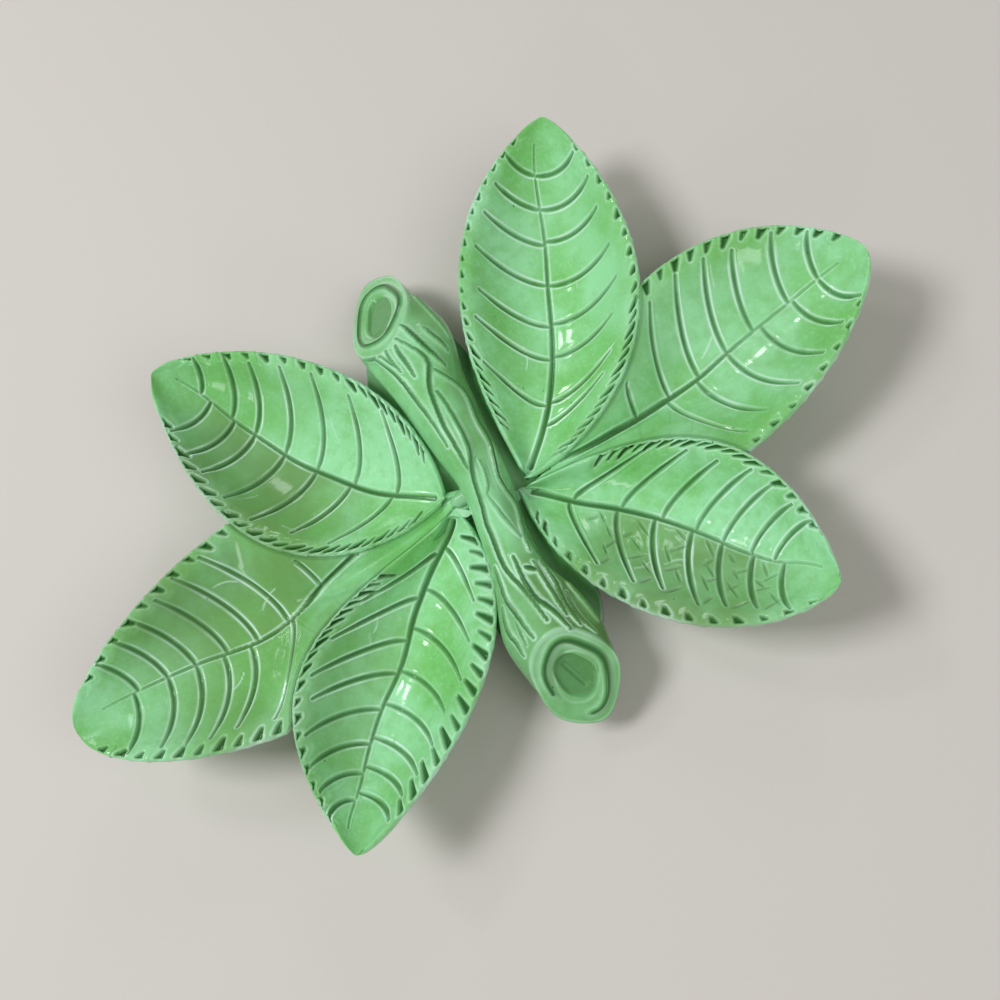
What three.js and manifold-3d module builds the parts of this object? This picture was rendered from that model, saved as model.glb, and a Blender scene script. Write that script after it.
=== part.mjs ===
// A leaf dish: six hollowed leaves in two clusters, joined to the flanks of a cut branch, on two foot rims.
// Millimetres, +Z up from the table. X runs from leaf tip to leaf tip, Y along the branch.
// The origin lies on the table under the middle of the dish.
import * as THREE from "three";
import { mergeVertices } from "three/addons/utils/BufferGeometryUtils.js";
import Module from "manifold-3d";

const wasm = await Module();
wasm.setup();

// Clay
const jointGap = 0.3; // left between pieces for the slip that joins them
const wall = 5; // leaf floor, top to underside
const rimThickness = 3.6; // leaf rim, top to underside
const rimUndercut = 1.8; // how far the underside draws in below the rim

// Leaf bowls, the same section on every leaf
const longestLeaf = 138.4; // stalk to tip
const rimHeightAtBranch = 15;
const rimHeightAtTip = 35;
const floorRiseAtBranch = 4.5; // floor at the branch, above its lowest point
const lowestAt = 0.4; // share of the leaf's length where its floor is lowest
const tipSweep = 2.2; // how late the floor turns up towards the tip
const bowlFullness = 2; // 2 gives a parabolic section
const rimLand = 0.08; // share of the half width that lies level along the rim

// Laps, where a leaf runs up to the rim of another that lies on it
const lapStep = 1.3; // from that rim down to the covered leaf
const lapSlope = 0.8; // how steeply the covered leaf climbs to it
const lapBlend = 3; // rounding where the climb leaves the bowl
const lapUnder = 2.5; // how far the covered leaf is carried on under the rim

// Impressed leaf pattern
const midribDepth = 1.3;
const midribEnd = 0.93; // share of the length where the midrib runs out
const veinDepth = 1;
const veinWidth = 2.4;
const veinReach = 0.5; // share of the half width where a side vein runs out
const veinSweep = 0.19; // how far a side vein runs towards the tip, as a share of the length
const veinCurve = 1.2; // 1 gives straight side veins
const notchPitch = 6.1; // measured along the midrib, and every second notch meets a side vein
const notchDepth = 1.5;
const notchEdgeDepth = 0.6; // where a notch breaks through the outer edge of the rim

// Places on the branch where the three stalks of each cluster meet
const leftFork = { x: -5.4, y: -3.3 };
const rightFork = { x: 15.1, y: -11.3 };

// One leaf each: its length as a share of the longest, and as shares of its own length the offset of its base
// from the fork, the sideways bow of its midrib, the half widths left and right of it and the rounding of its
// tip. The bearing is from +X. Fullness swells each side at the base and the tip. The pattern is pressed in
// from a share of the length on, a leaf with a neck is drawn in up to there, and a leaf lies under those that
// it laps under.
const leaves = [
  {
    name: "leaf_left_upper", fork: leftFork, size: 0.725, bearing: 128.1, base: 0.034, bow: 0.052,
    left: 0.308, right: 0.295, fullLeft: 0.69, fullRight: 0.86, fullTip: 1.03, tipRound: 0.096,
    pressedFrom: 0.05, neck: 0, lapsUnder: [],
  },
  {
    name: "leaf_left_lower", fork: leftFork, size: 0.758, bearing: 230, base: 0.016, bow: -0.072,
    left: 0.293, right: 0.246, fullLeft: 0.85, fullRight: 1.51, fullTip: 1.155, tipRound: 0.066,
    pressedFrom: 0.05, neck: 0, lapsUnder: ["leaf_left_upper"],
  },
  {
    name: "leaf_left_middle", fork: leftFork, size: 1, bearing: 184.1, base: -0.0585, bow: -0.017,
    left: 0.288, right: 0.224, fullLeft: 0.58, fullRight: 0.557, fullTip: 0.788, tipRound: 0.092,
    pressedFrom: 0.3, neck: 0.1, lapsUnder: ["leaf_left_upper", "leaf_left_lower"],
  },
  {
    name: "leaf_right_upper", fork: rightFork, size: 0.816, bearing: 56.8, base: 0.03, bow: -0.03,
    left: 0.254, right: 0.267, fullLeft: 1.09, fullRight: 0.75, fullTip: 0.842, tipRound: 0.015,
    pressedFrom: 0.05, neck: 0, lapsUnder: [],
  },
  {
    name: "leaf_right_lower", fork: rightFork, size: 0.708, bearing: -49.8, base: -0.017, bow: 0.094,
    left: 0.219, right: 0.342, fullLeft: 1.034, fullRight: 0.893, fullTip: 0.81, tipRound: 0.012,
    pressedFrom: 0.05, neck: 0, lapsUnder: ["leaf_right_upper"],
  },
  {
    name: "leaf_right_middle", fork: rightFork, size: 0.8745, bearing: 2.3, base: -0.004, bow: 0.009,
    left: 0.274, right: 0.26, fullLeft: 1.1, fullRight: 0.62, fullTip: 0.72, tipRound: 0.012,
    pressedFrom: 0.3, neck: 0.1, lapsUnder: ["leaf_right_upper", "leaf_right_lower"],
  },
];

// Branch: a log, thick at its slanting cut ends, drawn in at the waist and bent to one side below it
const branchStations = [ // at even steps from the lower cut face to the upper one
  { middleX: 2, halfWidth: 12.4 },
  { middleX: 2, halfWidth: 14.2 },
  { middleX: 1.9, halfWidth: 9.3 },
  { middleX: 3.4, halfWidth: 7.4 },
  { middleX: 5.9, halfWidth: 8 },
  { middleX: 5.6, halfWidth: 9.6 },
  { middleX: 5.6, halfWidth: 11.2 },
  { middleX: 6.5, halfWidth: 13.8 },
  { middleX: 2.2, halfWidth: 11.8 },
];
const branchMiddleY = -3.7;
const branchHalfLength = 66; // to the middle of a cut face
const waistHalfHeight = 10.5;
const endHalfHeight = 9;
const waistMiddleHeight = 14.5;
const endMiddleHeight = 21;
const endFlare = 1.7; // how late the log rises towards its ends
const upperCutSlant = 1.74; // run of a cut face for each unit that it drops
const lowerCutSlant = 1.38;
const upperCutTurn = 0.49; // run of the upper cut face for each unit across it
const endPeak = 0.14; // a cut face draws out to a point below, by this share of its size
const endPeakSharpness = 6;
const barkGrooveDepth = 0.7;
const barkGrooves = 8;
const barkTwist = 3; // turn of the grooves from the middle to an end, in radians over the grooves
const endRimWidth = 0.15; // shares of the cut face from its edge inwards
const endRingWidth = 0.17;
const endHeartWidth = 0.24;
const endRingDepth = 1.3;
const endHeartDepth = 1.8;

// Web of clay that fills the valleys between the branch and the leaves
const webMiddleX = 3.8;
const webMiddleY = -1;
const webHalfLength = 60;
const webHalfWidth = 18;
const webSquareness = 4; // 2 gives an oval
const webBottom = 4.5;
const webTop = 13;

// Stalks: one short tapered stalk on each flank, from which three midribs spread
const stalkLength = 10;
const stalkRoot = 7; // hidden length behind the fork
const stalkHalfWidth = 3.8;
const stalkHalfHeight = 3.6;
const stalkTipHalfWidth = 1.4;
const stalkTaper = 0.7;
const stalkRootHeight = 13.5;
const stalkTipHeight = 12;

// Foot rims: one oval ring under each cluster
const footHeight = 3; // under the lowest part of a leaf floor
const footTop = 9; // where no leaf floor comes down on it
const footWall = 5.5;
const footHalfLengthX = 26;
const footHalfLengthY = 39;
const footOut = 0.27; // from a fork to the middle of its rim, as a share of the longest leaf
const footMiddleY = -3;

// Facets
const acrossLeaf = [1, 0.93, 0.8, 0.45, 0.06, 0, -0.06, -0.45, -0.8, -0.93, -1];
const underLeaf = [-1, -0.5, 0, 0.5, 1];
const leastReach = 0.3; // share of the half width that every row of a covered leaf spans
const reachStep = 0.02;
const branchRows = 20;
const branchSides = 20;
const webSides = 28;
const stalkRows = 5;
const stalkSides = 12;
const footSegments = 22;

// Values that follow from the sizes above
const leafFloor = footHeight + jointGap + wall;
const skyHeight = rimHeightAtTip + 2 * wall;
const endClearance = 3 * jointGap;
const firstRow = 0.02;
const lastStation = 0.95;
const tipRows = [0.97, 0.997]; // plain rows that close the tip
const fineRows = 0.16; // the outline turns fastest on this share of the leaf at each end

const leafGlaze = new THREE.MeshStandardMaterial({ color: 0x74bd6d, roughness: 0.16, metalness: 0 });
const branchGlaze = new THREE.MeshStandardMaterial({ color: 0x6cb577, roughness: 0.2, metalness: 0 });
const dryClay = new THREE.MeshStandardMaterial({ color: 0xd9ccb2, roughness: 0.85, metalness: 0 });

const mix = THREE.MathUtils.lerp;

// Solids

function solidFrom(geometry) {
  const bare = new THREE.BufferGeometry();
  bare.setAttribute("position", geometry.getAttribute("position").clone());
  bare.setIndex(geometry.getIndex());
  const merged = mergeVertices(bare);
  return new wasm.Manifold(
    new wasm.Mesh({
      numProp: 3,
      vertProperties: merged.getAttribute("position").array,
      triVerts: new Uint32Array(merged.getIndex().array),
    }),
  );
}

function middleOf(points) {
  const sum = points.reduce((total, point) => total.add(point), new THREE.Vector3());
  return sum.divideScalar(points.length);
}

// The rings run along the piece, each counter-clockwise seen from the last ring's end. An end is closed
// round the point that heart gives, from which every side of the ring can be seen.
function loft(rings, heart = middleOf) {
  const around = rings[0].length;
  const points = rings.flat();
  const triangles = [];
  for (let row = 0; row + 1 < rings.length; row += 1) {
    for (let side = 0; side < around; side += 1) {
      const here = row * around + side;
      const next = row * around + ((side + 1) % around);
      triangles.push(here, next, next + around);
      triangles.push(here, next + around, here + around);
    }
  }
  for (const [row, turned] of [[0, true], [rings.length - 1, false]]) {
    points.push(heart(rings[row]));
    for (let side = 0; side < around; side += 1) {
      const here = row * around + side;
      const next = row * around + ((side + 1) % around);
      triangles.push(points.length - 1, turned ? next : here, turned ? here : next);
    }
  }
  const geometry = new THREE.BufferGeometry().setFromPoints(points);
  geometry.setIndex(triangles);
  return solidFrom(geometry);
}

// A trimmed piece keeps its body, and the offcuts are dropped.
function trim(solid, cutters) {
  const bodies = cutters.reduce((left, cutter) => left.subtract(cutter), solid).decompose();
  return bodies.reduce((best, body) => (body.volume() > best.volume() ? body : best));
}

function meshFrom(solid, name, material) {
  const made = solid.getMesh();
  const geometry = new THREE.BufferGeometry();
  geometry.setAttribute("position", new THREE.BufferAttribute(made.vertProperties, 3));
  geometry.setIndex(new THREE.BufferAttribute(made.triVerts, 1));
  geometry.computeVertexNormals();
  const mesh = new THREE.Mesh(geometry, material);
  mesh.name = name;
  return mesh;
}

// Leaves

function leafLength(leaf) {
  return longestLeaf * leaf.size;
}

// What is left of the length up to the tip, drawn out close to it so that the tip is round.
function tipDistance(leaf, share) {
  const rest = 1 - share;
  return Math.sqrt(rest * (rest + 2 * leaf.tipRound));
}

function halfWidth(leaf, share, onLeft) {
  const full = onLeft ? leaf.fullLeft : leaf.fullRight;
  const widestAt = full / (full + leaf.fullTip);
  const swell = (share / widestAt) ** full;
  const taper = (tipDistance(leaf, share) / tipDistance(leaf, widestAt)) ** leaf.fullTip;
  return leafLength(leaf) * (onLeft ? leaf.left : leaf.right) * swell * taper;
}

function leafFrame(leaf) {
  const bearing = THREE.MathUtils.degToRad(leaf.bearing);
  const along = new THREE.Vector2(Math.cos(bearing), Math.sin(bearing));
  const toLeft = new THREE.Vector2(-along.y, along.x);
  const fork = new THREE.Vector2(leaf.fork.x, leaf.fork.y);
  const base = fork.addScaledVector(along, leaf.base * leafLength(leaf));
  return { along, toLeft, base };
}

// A point of the leaf at a share of its length; across runs from 1 on the left rim to -1 on the right.
function leafPoint(leaf, share, across, height, grow = 0) {
  const { along, toLeft, base } = leafFrame(leaf);
  const width = halfWidth(leaf, share, across > 0);
  const reach = across * Math.max(width + grow, width / 2);
  const length = leafLength(leaf);
  const bow = leaf.bow * length * Math.sin(Math.PI * share);
  const plan = base.addScaledVector(along, share * length).addScaledVector(toLeft, bow + reach);
  return new THREE.Vector3(plan.x, plan.y, height);
}

function rimHeight(share) {
  return mix(rimHeightAtBranch, rimHeightAtTip, share);
}

function bowlHeight(share, across) {
  const past = (share - lowestAt) / (1 - lowestAt);
  const before = 1 - share / lowestAt;
  const rise = before > 0 ? floorRiseAtBranch * before ** 2 : (rimHeightAtTip - leafFloor) * past ** tipSweep;
  const climb = Math.min(Math.abs(across) / (1 - rimLand), 1) ** bowlFullness;
  return mix(leafFloor + rise, rimHeight(share), climb);
}

function leafNamed(name) {
  return leaves.find((leaf) => leaf.name === name);
}

// Where a plan point lies against a leaf: its share of that length, and millimetres outside that outline.
function placeBeside(leaf, point) {
  const { along, toLeft, base } = leafFrame(leaf);
  const length = leafLength(leaf);
  const offset = new THREE.Vector2(point.x, point.y).sub(base);
  const run = offset.dot(along) / length;
  const share = THREE.MathUtils.clamp(run, 0, 1);
  const reach = offset.dot(toLeft) - leaf.bow * length * Math.sin(Math.PI * share);
  const beside = Math.abs(reach) - halfWidth(leaf, share, reach > 0);
  const outside = run === share ? beside : Math.hypot((run - share) * length, Math.max(beside, 0));
  return { share, outside };
}

// The top of a leaf: its bowl, and a climb up to the rim of each leaf that lies on it.
function topHeight(leaf, share, across) {
  const plan = leafPoint(leaf, share, across, 0);
  return leaf.lapsUnder.reduce((top, name) => {
    const place = placeBeside(leafNamed(name), plan);
    const lap = rimHeight(place.share) - lapStep - lapSlope * Math.max(place.outside, 0);
    const rounding = Math.max(lapBlend - Math.abs(top - lap), 0) ** 2 / (4 * lapBlend);
    return Math.max(top, lap) + rounding;
  }, bowlHeight(share, across));
}

// Side veins leave the midrib and curve towards the tip, and the rows of facets follow them.
function shareOnRow(row, across) {
  return row + veinSweep * 4 * row * (1 - row) * Math.abs(across) ** veinCurve;
}

// The share of the half width that a row covers on a side: all of it, or to a little under a covering rim,
// or as little as can be on a neck.
function rowReach(leaf, at, side) {
  const isUnder = (across) => {
    const plan = leafPoint(leaf, shareOnRow(at, across), side * across, 0);
    return leaf.lapsUnder.some((name) => placeBeside(leafNamed(name), plan).outside < -lapUnder);
  };
  let reach = 1;
  while (reach > leastReach && (at < leaf.neck || isUnder(reach))) {
    reach -= reachStep;
  }
  return reach;
}

function acrossOn(row, column) {
  return column * (column > 0 ? row.left : row.right);
}

// Rows of facets: one for each notch station, with one more on each side of it where the pattern is pressed.
function leafRows(leaf) {
  const pitch = notchPitch / leafLength(leaf);
  const half = veinWidth / 2 / leafLength(leaf);
  const rows = [{ at: firstRow, station: true, notch: false, vein: false }];
  let vein = false;
  for (let station = firstRow + pitch; station < lastStation; station += pitch) {
    const pressed = station > leaf.pressedFrom;
    const sides = pressed ? [station - half, station + half] : [];
    const middle = { at: station, station: true, notch: pressed, vein: pressed && vein };
    rows.push(...sides.map((at) => ({ at, station: false, notch: false, vein: false })), middle);
    vein = !vein;
  }
  rows.push(...tipRows.map((at) => ({ at, station: true, notch: false, vein: false })));
  const reaching = rows.map((row) => {
    return { ...row, left: rowReach(leaf, row.at, 1), right: rowReach(leaf, row.at, -1) };
  });
  return reaching.sort((one, other) => one.at - other.at);
}

function impressed(row, column) {
  const off = Math.abs(column);
  const inRim = off > 1 - 2 * rimLand && Math.abs(acrossOn(row, column)) === off;
  let depth = column === 0 && row.at < midribEnd ? midribDepth : 0;
  if (row.vein && off > 0 && off < veinReach) {
    depth += veinDepth;
  }
  if (row.notch && inRim) {
    depth += off === 1 ? notchEdgeDepth : notchDepth;
  }
  return depth;
}

function underside(leaf, share, across) {
  return topHeight(leaf, share, across) - mix(wall, rimThickness, Math.abs(across));
}

function leafSolid(leaf) {
  const rings = leafRows(leaf).map((row) => {
    const top = acrossLeaf.map((column) => {
      const across = acrossOn(row, column);
      const share = shareOnRow(row.at, across);
      return leafPoint(leaf, share, across, topHeight(leaf, share, across) - impressed(row, column));
    });
    const bottom = underLeaf.map((column) => {
      const across = acrossOn(row, column);
      const share = shareOnRow(row.at, across);
      return leafPoint(leaf, share, across, underside(leaf, share, across), -rimUndercut * Math.abs(across));
    });
    return [...top, ...bottom];
  });
  const midribTop = acrossLeaf.indexOf(0);
  const midribUnder = acrossLeaf.length + underLeaf.indexOf(0);
  return loft(rings, (ring) => middleOf([ring[midribTop], ring[midribUnder]]));
}

function skyOver(point) {
  return point.clone().setZ(skyHeight);
}

// All the room that a leaf takes, with the joint gap round it and everything above it.
function leafRoom(leaf) {
  const { along } = leafFrame(leaf);
  const isFine = (row) => leaf.lapsUnder.length > 0 || Math.abs(row.at - 0.5) > 0.5 - fineRows;
  const rows = leafRows(leaf).filter((row) => row.station || isFine(row));
  const rings = rows.map((row) => {
    const edge = (across, height) => leafPoint(leaf, shareOnRow(row.at, across), across, height, jointGap);
    const rimAt = (across) => topHeight(leaf, shareOnRow(row.at, across), across);
    const bottom = underLeaf.map((column) => {
      const across = acrossOn(row, column);
      const share = shareOnRow(row.at, across);
      const grow = jointGap - rimUndercut * Math.abs(across);
      return leafPoint(leaf, share, across, underside(leaf, share, across) - jointGap, grow);
    });
    const left = acrossOn(row, 1);
    const right = acrossOn(row, -1);
    const sky = [edge(left, skyHeight), edge(right, skyHeight)];
    return [...bottom, edge(left, rimAt(left)), ...sky, edge(right, rimAt(right))];
  });
  const shift = new THREE.Vector3(along.x, along.y, 0).multiplyScalar(endClearance);
  rings[0].forEach((point) => point.sub(shift));
  rings[rings.length - 1].forEach((point) => point.add(shift));
  return loft(rings, (ring) => middleOf([ring[underLeaf.indexOf(0)], skyOver(ring[underLeaf.indexOf(0)])]));
}

// Branch

const branchLine = new THREE.CatmullRomCurve3(
  branchStations.map(({ middleX, halfWidth: width }) => new THREE.Vector3(middleX, width, 0)),
  false,
  "catmullrom",
);

// A ring round the log; at runs from -1 on the lower cut face to 1 on the upper one.
function branchRing(at, grow, shrink = 1, sink = 0) {
  const end = Math.abs(at) ** endFlare;
  const upper = Math.max(at, 0) ** 2;
  const lower = Math.min(at, 0) ** 2;
  const station = branchLine.getPoint((at + 1) / 2);
  const centreY = branchMiddleY + branchHalfLength * at;
  const middle = mix(waistMiddleHeight, endMiddleHeight, end);
  const points = [];
  for (let side = 0; side < branchSides; side += 1) {
    const turn = (side / branchSides) * Math.PI * 2;
    const groove = barkGrooveDepth * Math.max(0, Math.cos(barkGrooves * turn + barkTwist * at)) ** 2;
    const width = station.y - groove + grow;
    const height = mix(waistHalfHeight, endHalfHeight, end) - groove + grow;
    const peak = endPeak * end * Math.max(0, -Math.sin(turn)) ** endPeakSharpness;
    const rise = shrink * height * Math.sin(turn) * (1 + peak);
    const across = -shrink * width * Math.cos(turn);
    const slide = (lowerCutSlant * lower - upperCutSlant * upper) * rise + upperCutTurn * upper * across;
    const y = centreY + slide - sink * Math.sign(at);
    points.push(new THREE.Vector3(station.x + across, y, middle + rise));
  }
  return points;
}

function cutFace(at, grow) {
  const ring = 1 - endRimWidth - endRingWidth;
  const heart = ring - endRingWidth;
  return [
    branchRing(at, grow, 1 - endRimWidth),
    branchRing(at, grow, 1 - endRimWidth - endRingWidth / 2, endRingDepth),
    branchRing(at, grow, ring),
    branchRing(at, grow, heart),
    branchRing(at, grow, endHeartWidth, endHeartDepth),
  ];
}

function logSolid(grow, withFaces) {
  const rings = [];
  for (let row = 0; row <= branchRows; row += 1) {
    rings.push(branchRing(mix(-1, 1, row / branchRows), grow));
  }
  if (withFaces) {
    return loft([...cutFace(-1, grow).reverse(), ...rings, ...cutFace(1, grow)]);
  }
  rings[0].forEach((point) => point.setY(point.y - jointGap));
  rings[branchRows].forEach((point) => point.setY(point.y + jointGap));
  return loft(rings);
}

function webSolid() {
  const outline = new THREE.Shape();
  const squared = (part) => Math.sign(part) * Math.abs(part) ** (2 / webSquareness);
  const corners = [];
  for (let side = 0; side < webSides; side += 1) {
    const turn = (side / webSides) * Math.PI * 2;
    const x = webMiddleX + webHalfWidth * squared(Math.cos(turn));
    const y = webMiddleY + webHalfLength * squared(Math.sin(turn));
    corners.push(new THREE.Vector2(x, y));
  }
  outline.setFromPoints(corners);
  const options = { depth: webTop - webBottom, bevelEnabled: false };
  const geometry = new THREE.ExtrudeGeometry(outline, options).translate(0, 0, webBottom);
  return solidFrom(geometry);
}

// Stalks

function endSide(row, rows) {
  return Number(row === rows) - Number(row === 0);
}

function stalkSolid(fork, bearing, grow) {
  const turn = THREE.MathUtils.degToRad(bearing);
  const along = new THREE.Vector3(Math.cos(turn), Math.sin(turn), 0);
  const toLeft = new THREE.Vector3(-along.y, along.x, 0);
  const up = new THREE.Vector3(0, 0, 1);
  const rings = [];
  for (let row = 0; row <= stalkRows; row += 1) {
    const share = row / stalkRows;
    const out = mix(-stalkRoot, stalkLength, share) + grow * endSide(row, stalkRows);
    const width = mix(stalkHalfWidth, stalkTipHalfWidth, share ** stalkTaper) + grow;
    const height = mix(stalkHalfHeight, stalkTipHalfWidth, share) + grow;
    const centre = new THREE.Vector3(fork.x, fork.y, mix(stalkRootHeight, stalkTipHeight, share));
    centre.addScaledVector(along, out);
    const ring = [];
    for (let side = 0; side < stalkSides; side += 1) {
      const angle = (side / stalkSides) * Math.PI * 2;
      const point = centre.clone().addScaledVector(toLeft, width * Math.cos(angle));
      ring.push(point.addScaledVector(up, height * Math.sin(angle)));
    }
    rings.push(ring);
  }
  return loft(rings);
}

// Foot rims

function footSolid(fork, side) {
  const middleX = fork.x + side * footOut * longestLeaf;
  const outline = new THREE.Shape();
  outline.absellipse(middleX, footMiddleY, footHalfLengthX, footHalfLengthY, 0, Math.PI * 2);
  const hole = new THREE.Path();
  const holeX = footHalfLengthX - footWall;
  const holeY = footHalfLengthY - footWall;
  hole.absellipse(middleX, footMiddleY, holeX, holeY, 0, Math.PI * 2);
  outline.holes.push(hole);
  const options = { depth: footTop, bevelEnabled: false, curveSegments: footSegments };
  return solidFrom(new THREE.ExtrudeGeometry(outline, options));
}

// Assembly

const dish = new THREE.Group();
const rooms = new Map(leaves.map((leaf) => [leaf.name, leafRoom(leaf)]));
const allRooms = [...rooms.values()];
const branchRoom = logSolid(jointGap, false);
const stalks = [
  { name: "leaf_stalk_left", fork: leftFork, bearing: leaves[2].bearing },
  { name: "leaf_stalk_right", fork: rightFork, bearing: leaves[5].bearing },
];
const stalkRooms = stalks.map((stalk) => stalkSolid(stalk.fork, stalk.bearing, jointGap));

const web = trim(webSolid(), [...allRooms, ...stalkRooms]);
dish.add(meshFrom(logSolid(0, true).add(web), "branch", branchGlaze));

for (const stalk of stalks) {
  const solid = trim(stalkSolid(stalk.fork, stalk.bearing, 0), [branchRoom]);
  dish.add(meshFrom(solid, stalk.name, branchGlaze));
}

for (const leaf of leaves) {
  const above = leaf.lapsUnder.map((name) => rooms.get(name));
  dish.add(meshFrom(trim(leafSolid(leaf), [branchRoom, ...stalkRooms, ...above]), leaf.name, leafGlaze));
}

dish.add(meshFrom(trim(footSolid(leftFork, -1), allRooms), "foot_rim_left", dryClay));
dish.add(meshFrom(trim(footSolid(rightFork, 1), allRooms), "foot_rim_right", dryClay));

export default dish;
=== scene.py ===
"""Looks of the leaf dish: six glazed leaf bowls on a cut branch, on two dry clay foot rims.

Sizes are in millimetres, in the frame of the solid model, and meshes are written in metres.
"""

import functools
import math
from dataclasses import dataclass

import bpy
import numpy as np
from mathutils import Matrix, Vector
from mathutils.kdtree import KDTree


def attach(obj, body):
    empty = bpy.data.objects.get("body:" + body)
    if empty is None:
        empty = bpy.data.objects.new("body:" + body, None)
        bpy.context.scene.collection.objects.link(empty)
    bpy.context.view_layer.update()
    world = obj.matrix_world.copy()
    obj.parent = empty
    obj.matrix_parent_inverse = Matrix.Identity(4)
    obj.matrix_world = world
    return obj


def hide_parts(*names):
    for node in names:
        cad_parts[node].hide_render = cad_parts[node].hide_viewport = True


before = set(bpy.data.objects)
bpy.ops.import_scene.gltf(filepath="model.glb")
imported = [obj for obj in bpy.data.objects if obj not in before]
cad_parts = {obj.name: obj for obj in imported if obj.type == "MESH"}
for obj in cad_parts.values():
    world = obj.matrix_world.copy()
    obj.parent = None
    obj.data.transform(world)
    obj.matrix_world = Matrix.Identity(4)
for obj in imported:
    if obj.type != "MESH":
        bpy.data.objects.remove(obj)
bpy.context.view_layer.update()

MM = 0.001

# Clay
WALL = 5.0
RIM_THICKNESS = 3.6
RIM_ROUND = 1.5

# Leaf bowls
LONGEST_LEAF = 138.4
RIM_AT_BRANCH = 15.0
RIM_AT_TIP = 35.0
LEAF_FLOOR = 8.3
FLOOR_RISE = 4.5
LOWEST_AT = 0.4
TIP_SWEEP = 2.2
RIM_LAND = 0.08
RIM_SOFTNESS = 7

# Laps, where a leaf runs up to the rim of another that lies on it
LAP_STEP = 1.3
LAP_SLOPE = 0.8
LAP_BLEND = 3.0
LAP_DIVE = 0.9
LAP_UNDER = 3.0
NECK_REACH = 0.3

# Kinds of strokes pressed into the clay, and how much of a lip each one raises
MIDRIB = 1
VEIN = 2
PIT = 3
SCRATCH = 4
RIDGE = 5
LIP_SHARE = {MIDRIB: 0.75, VEIN: 1.0, PIT: 0.5, SCRATCH: 0.3}

# Midribs, finer at both ends
MIDRIB_HALF_WIDTH = 1.35
MIDRIB_DEPTH = 1.05
MIDRIB_RUN = (0.04, 0.94)
MIDRIB_START = 0.3
MIDRIB_FIRST = 0.8
NECK_MIDRIB_FIRST = 0.45
MIDRIB_LAST_WIDTH = 0.35
MIDRIB_LAST_DEPTH = 0.25
MIDRIB_POINTS = 160

# Side veins
VEIN_HALF_WIDTH = 0.9
VEIN_DEPTH = 0.8
VEIN_CURVE = 1.8
VEIN_FAN = 1.15
VEIN_OVERRUN = 1.3
VEIN_START = 0.6
VEIN_WAVER = 0.03
VEIN_MARGIN = 1.5
VEIN_START_LOSS = 0.15
VEIN_END_LOSS = 0.3
VEIN_POINTS = 60
VEIN_LEAST_POINTS = 12

# Pits along the rim, and the slits that take their place close to the base
PIT_HALF_WIDTH = 1.45
PIT_WIDTHS = (1.05, 0.55)
PIT_DEPTH = 1.3
PIT_LAST_DEPTH = 0.75
PIT_INSET = 1.6
PIT_FROM_RIM = 0.8
PIT_FROM_MIDDLE = 3.0
PIT_FROM_LAP = 0.3
PIT_ROOM = 11.0
PIT_RUN = (0.03, 0.9995)
PIT_STOP = 0.8
PIT_ENDS = 1.5
PIT_LEAST = 0.4
PIT_UNEVEN = 0.14
PIT_TIP = (0.75, 0.98)
PIT_TIP_LENGTH = 0.7
PIT_POINTS = 12
RIM_POINTS = 900
SLIT_HALF_WIDTH = 0.95
SLIT_DEPTH = 1.3
SLIT_INSET = 1.4
SLIT_SLANT = 1.9
SLIT_LENGTH = 3.6
SLIT_PITCH = 4.1
SLIT_FADE = 0.1

# Scratches, with their places as shares of the half width and of the gap between two side veins
SCRATCHES = 6
SCRATCH_SEED = 5
SCRATCH_HALF_WIDTH = 0.6
SCRATCH_DEPTH = 0.5
SCRATCH_ACROSS = (0.16, 0.74)
SCRATCH_SPREAD = (0.1, 0.9)
SCRATCH_BETWEEN = (0.25, 0.75)
SCRATCH_TURN = (0.5, 1.1)
SCRATCH_LENGTH = (3.5, 7)
SCRATCH_POINTS = 14

# Fine raised lines
HAIRLINES = 3
HAIR_HALF_WIDTH = 0.4
HAIR_HEIGHT = 0.14
HAIR_TURN = 0.9
HAIR_LENGTH = (3.5, 9)
HAIR_PLACE = (0.3, 0.88)
HAIR_ACROSS = (0.2, 0.7)
HAIR_BEND = 1.2
HAIR_FROM_RIM = 4
HAIR_FROM_LAP = 3
HAIR_POINTS = 24

# Glaze pooled with painted shade under a rim that lies on a leaf, pale glaze along a rim, and olive tone;
# each pair is where a change starts and ends
LAP_POOL_AND_SHADE = 0.5
LAP_SHADE = (1.2, 0.1)
RIM_PALE = 0.6
RIM_PALE_END = (0.2, 1.2)
OLIVE_BLEND = 2.0
OLIVE_START = (0.15, 0.42)
OLIVE_END = (0.97, 0.72)
OLIVE_BELOW = 0.25

# Facets
LEAF_ROWS = 380
FIRST_ROW = 0.004
LAST_ROW = 0.9998
ROW_CROWDING = 0.8
ROW_TURN = 0.12
ROW_TRIES = 801
SPAN_STEP = 0.02
LEAF_COLUMNS = 185
LIP_COLUMNS = 9
UNDER_COLUMNS = 25
LEAST_WIDTH = 0.01
FAR_UP = 99.0

LEFT_FORK = (-5.4, -3.3)
RIGHT_FORK = (15.1, -11.3)


def through(knots, x):
    """A smooth line through (place, value) knots, read at x."""
    places, values = np.array(knots, float).T
    slopes = np.gradient(values, places)
    x = np.clip(x, places[0], places[-1])
    index = np.clip(np.searchsorted(places, x) - 1, 0, len(places) - 2)
    span = places[index + 1] - places[index]
    t = (x - places[index]) / span
    start = (1 + 2 * t) * (1 - t) ** 2 * values[index] + t * (1 - t) ** 2 * span * slopes[index]
    end = t**2 * (3 - 2 * t) * values[index + 1] + t**2 * (t - 1) * span * slopes[index + 1]
    return start + end


def smooth_path(points, count):
    """A smooth line through points, as many places as count."""
    knots = np.linspace(0, 1, len(points))
    run = np.linspace(0, 1, count)
    columns = np.array(points, float).T
    return np.column_stack([through(np.column_stack([knots, column]), run) for column in columns])


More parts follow.
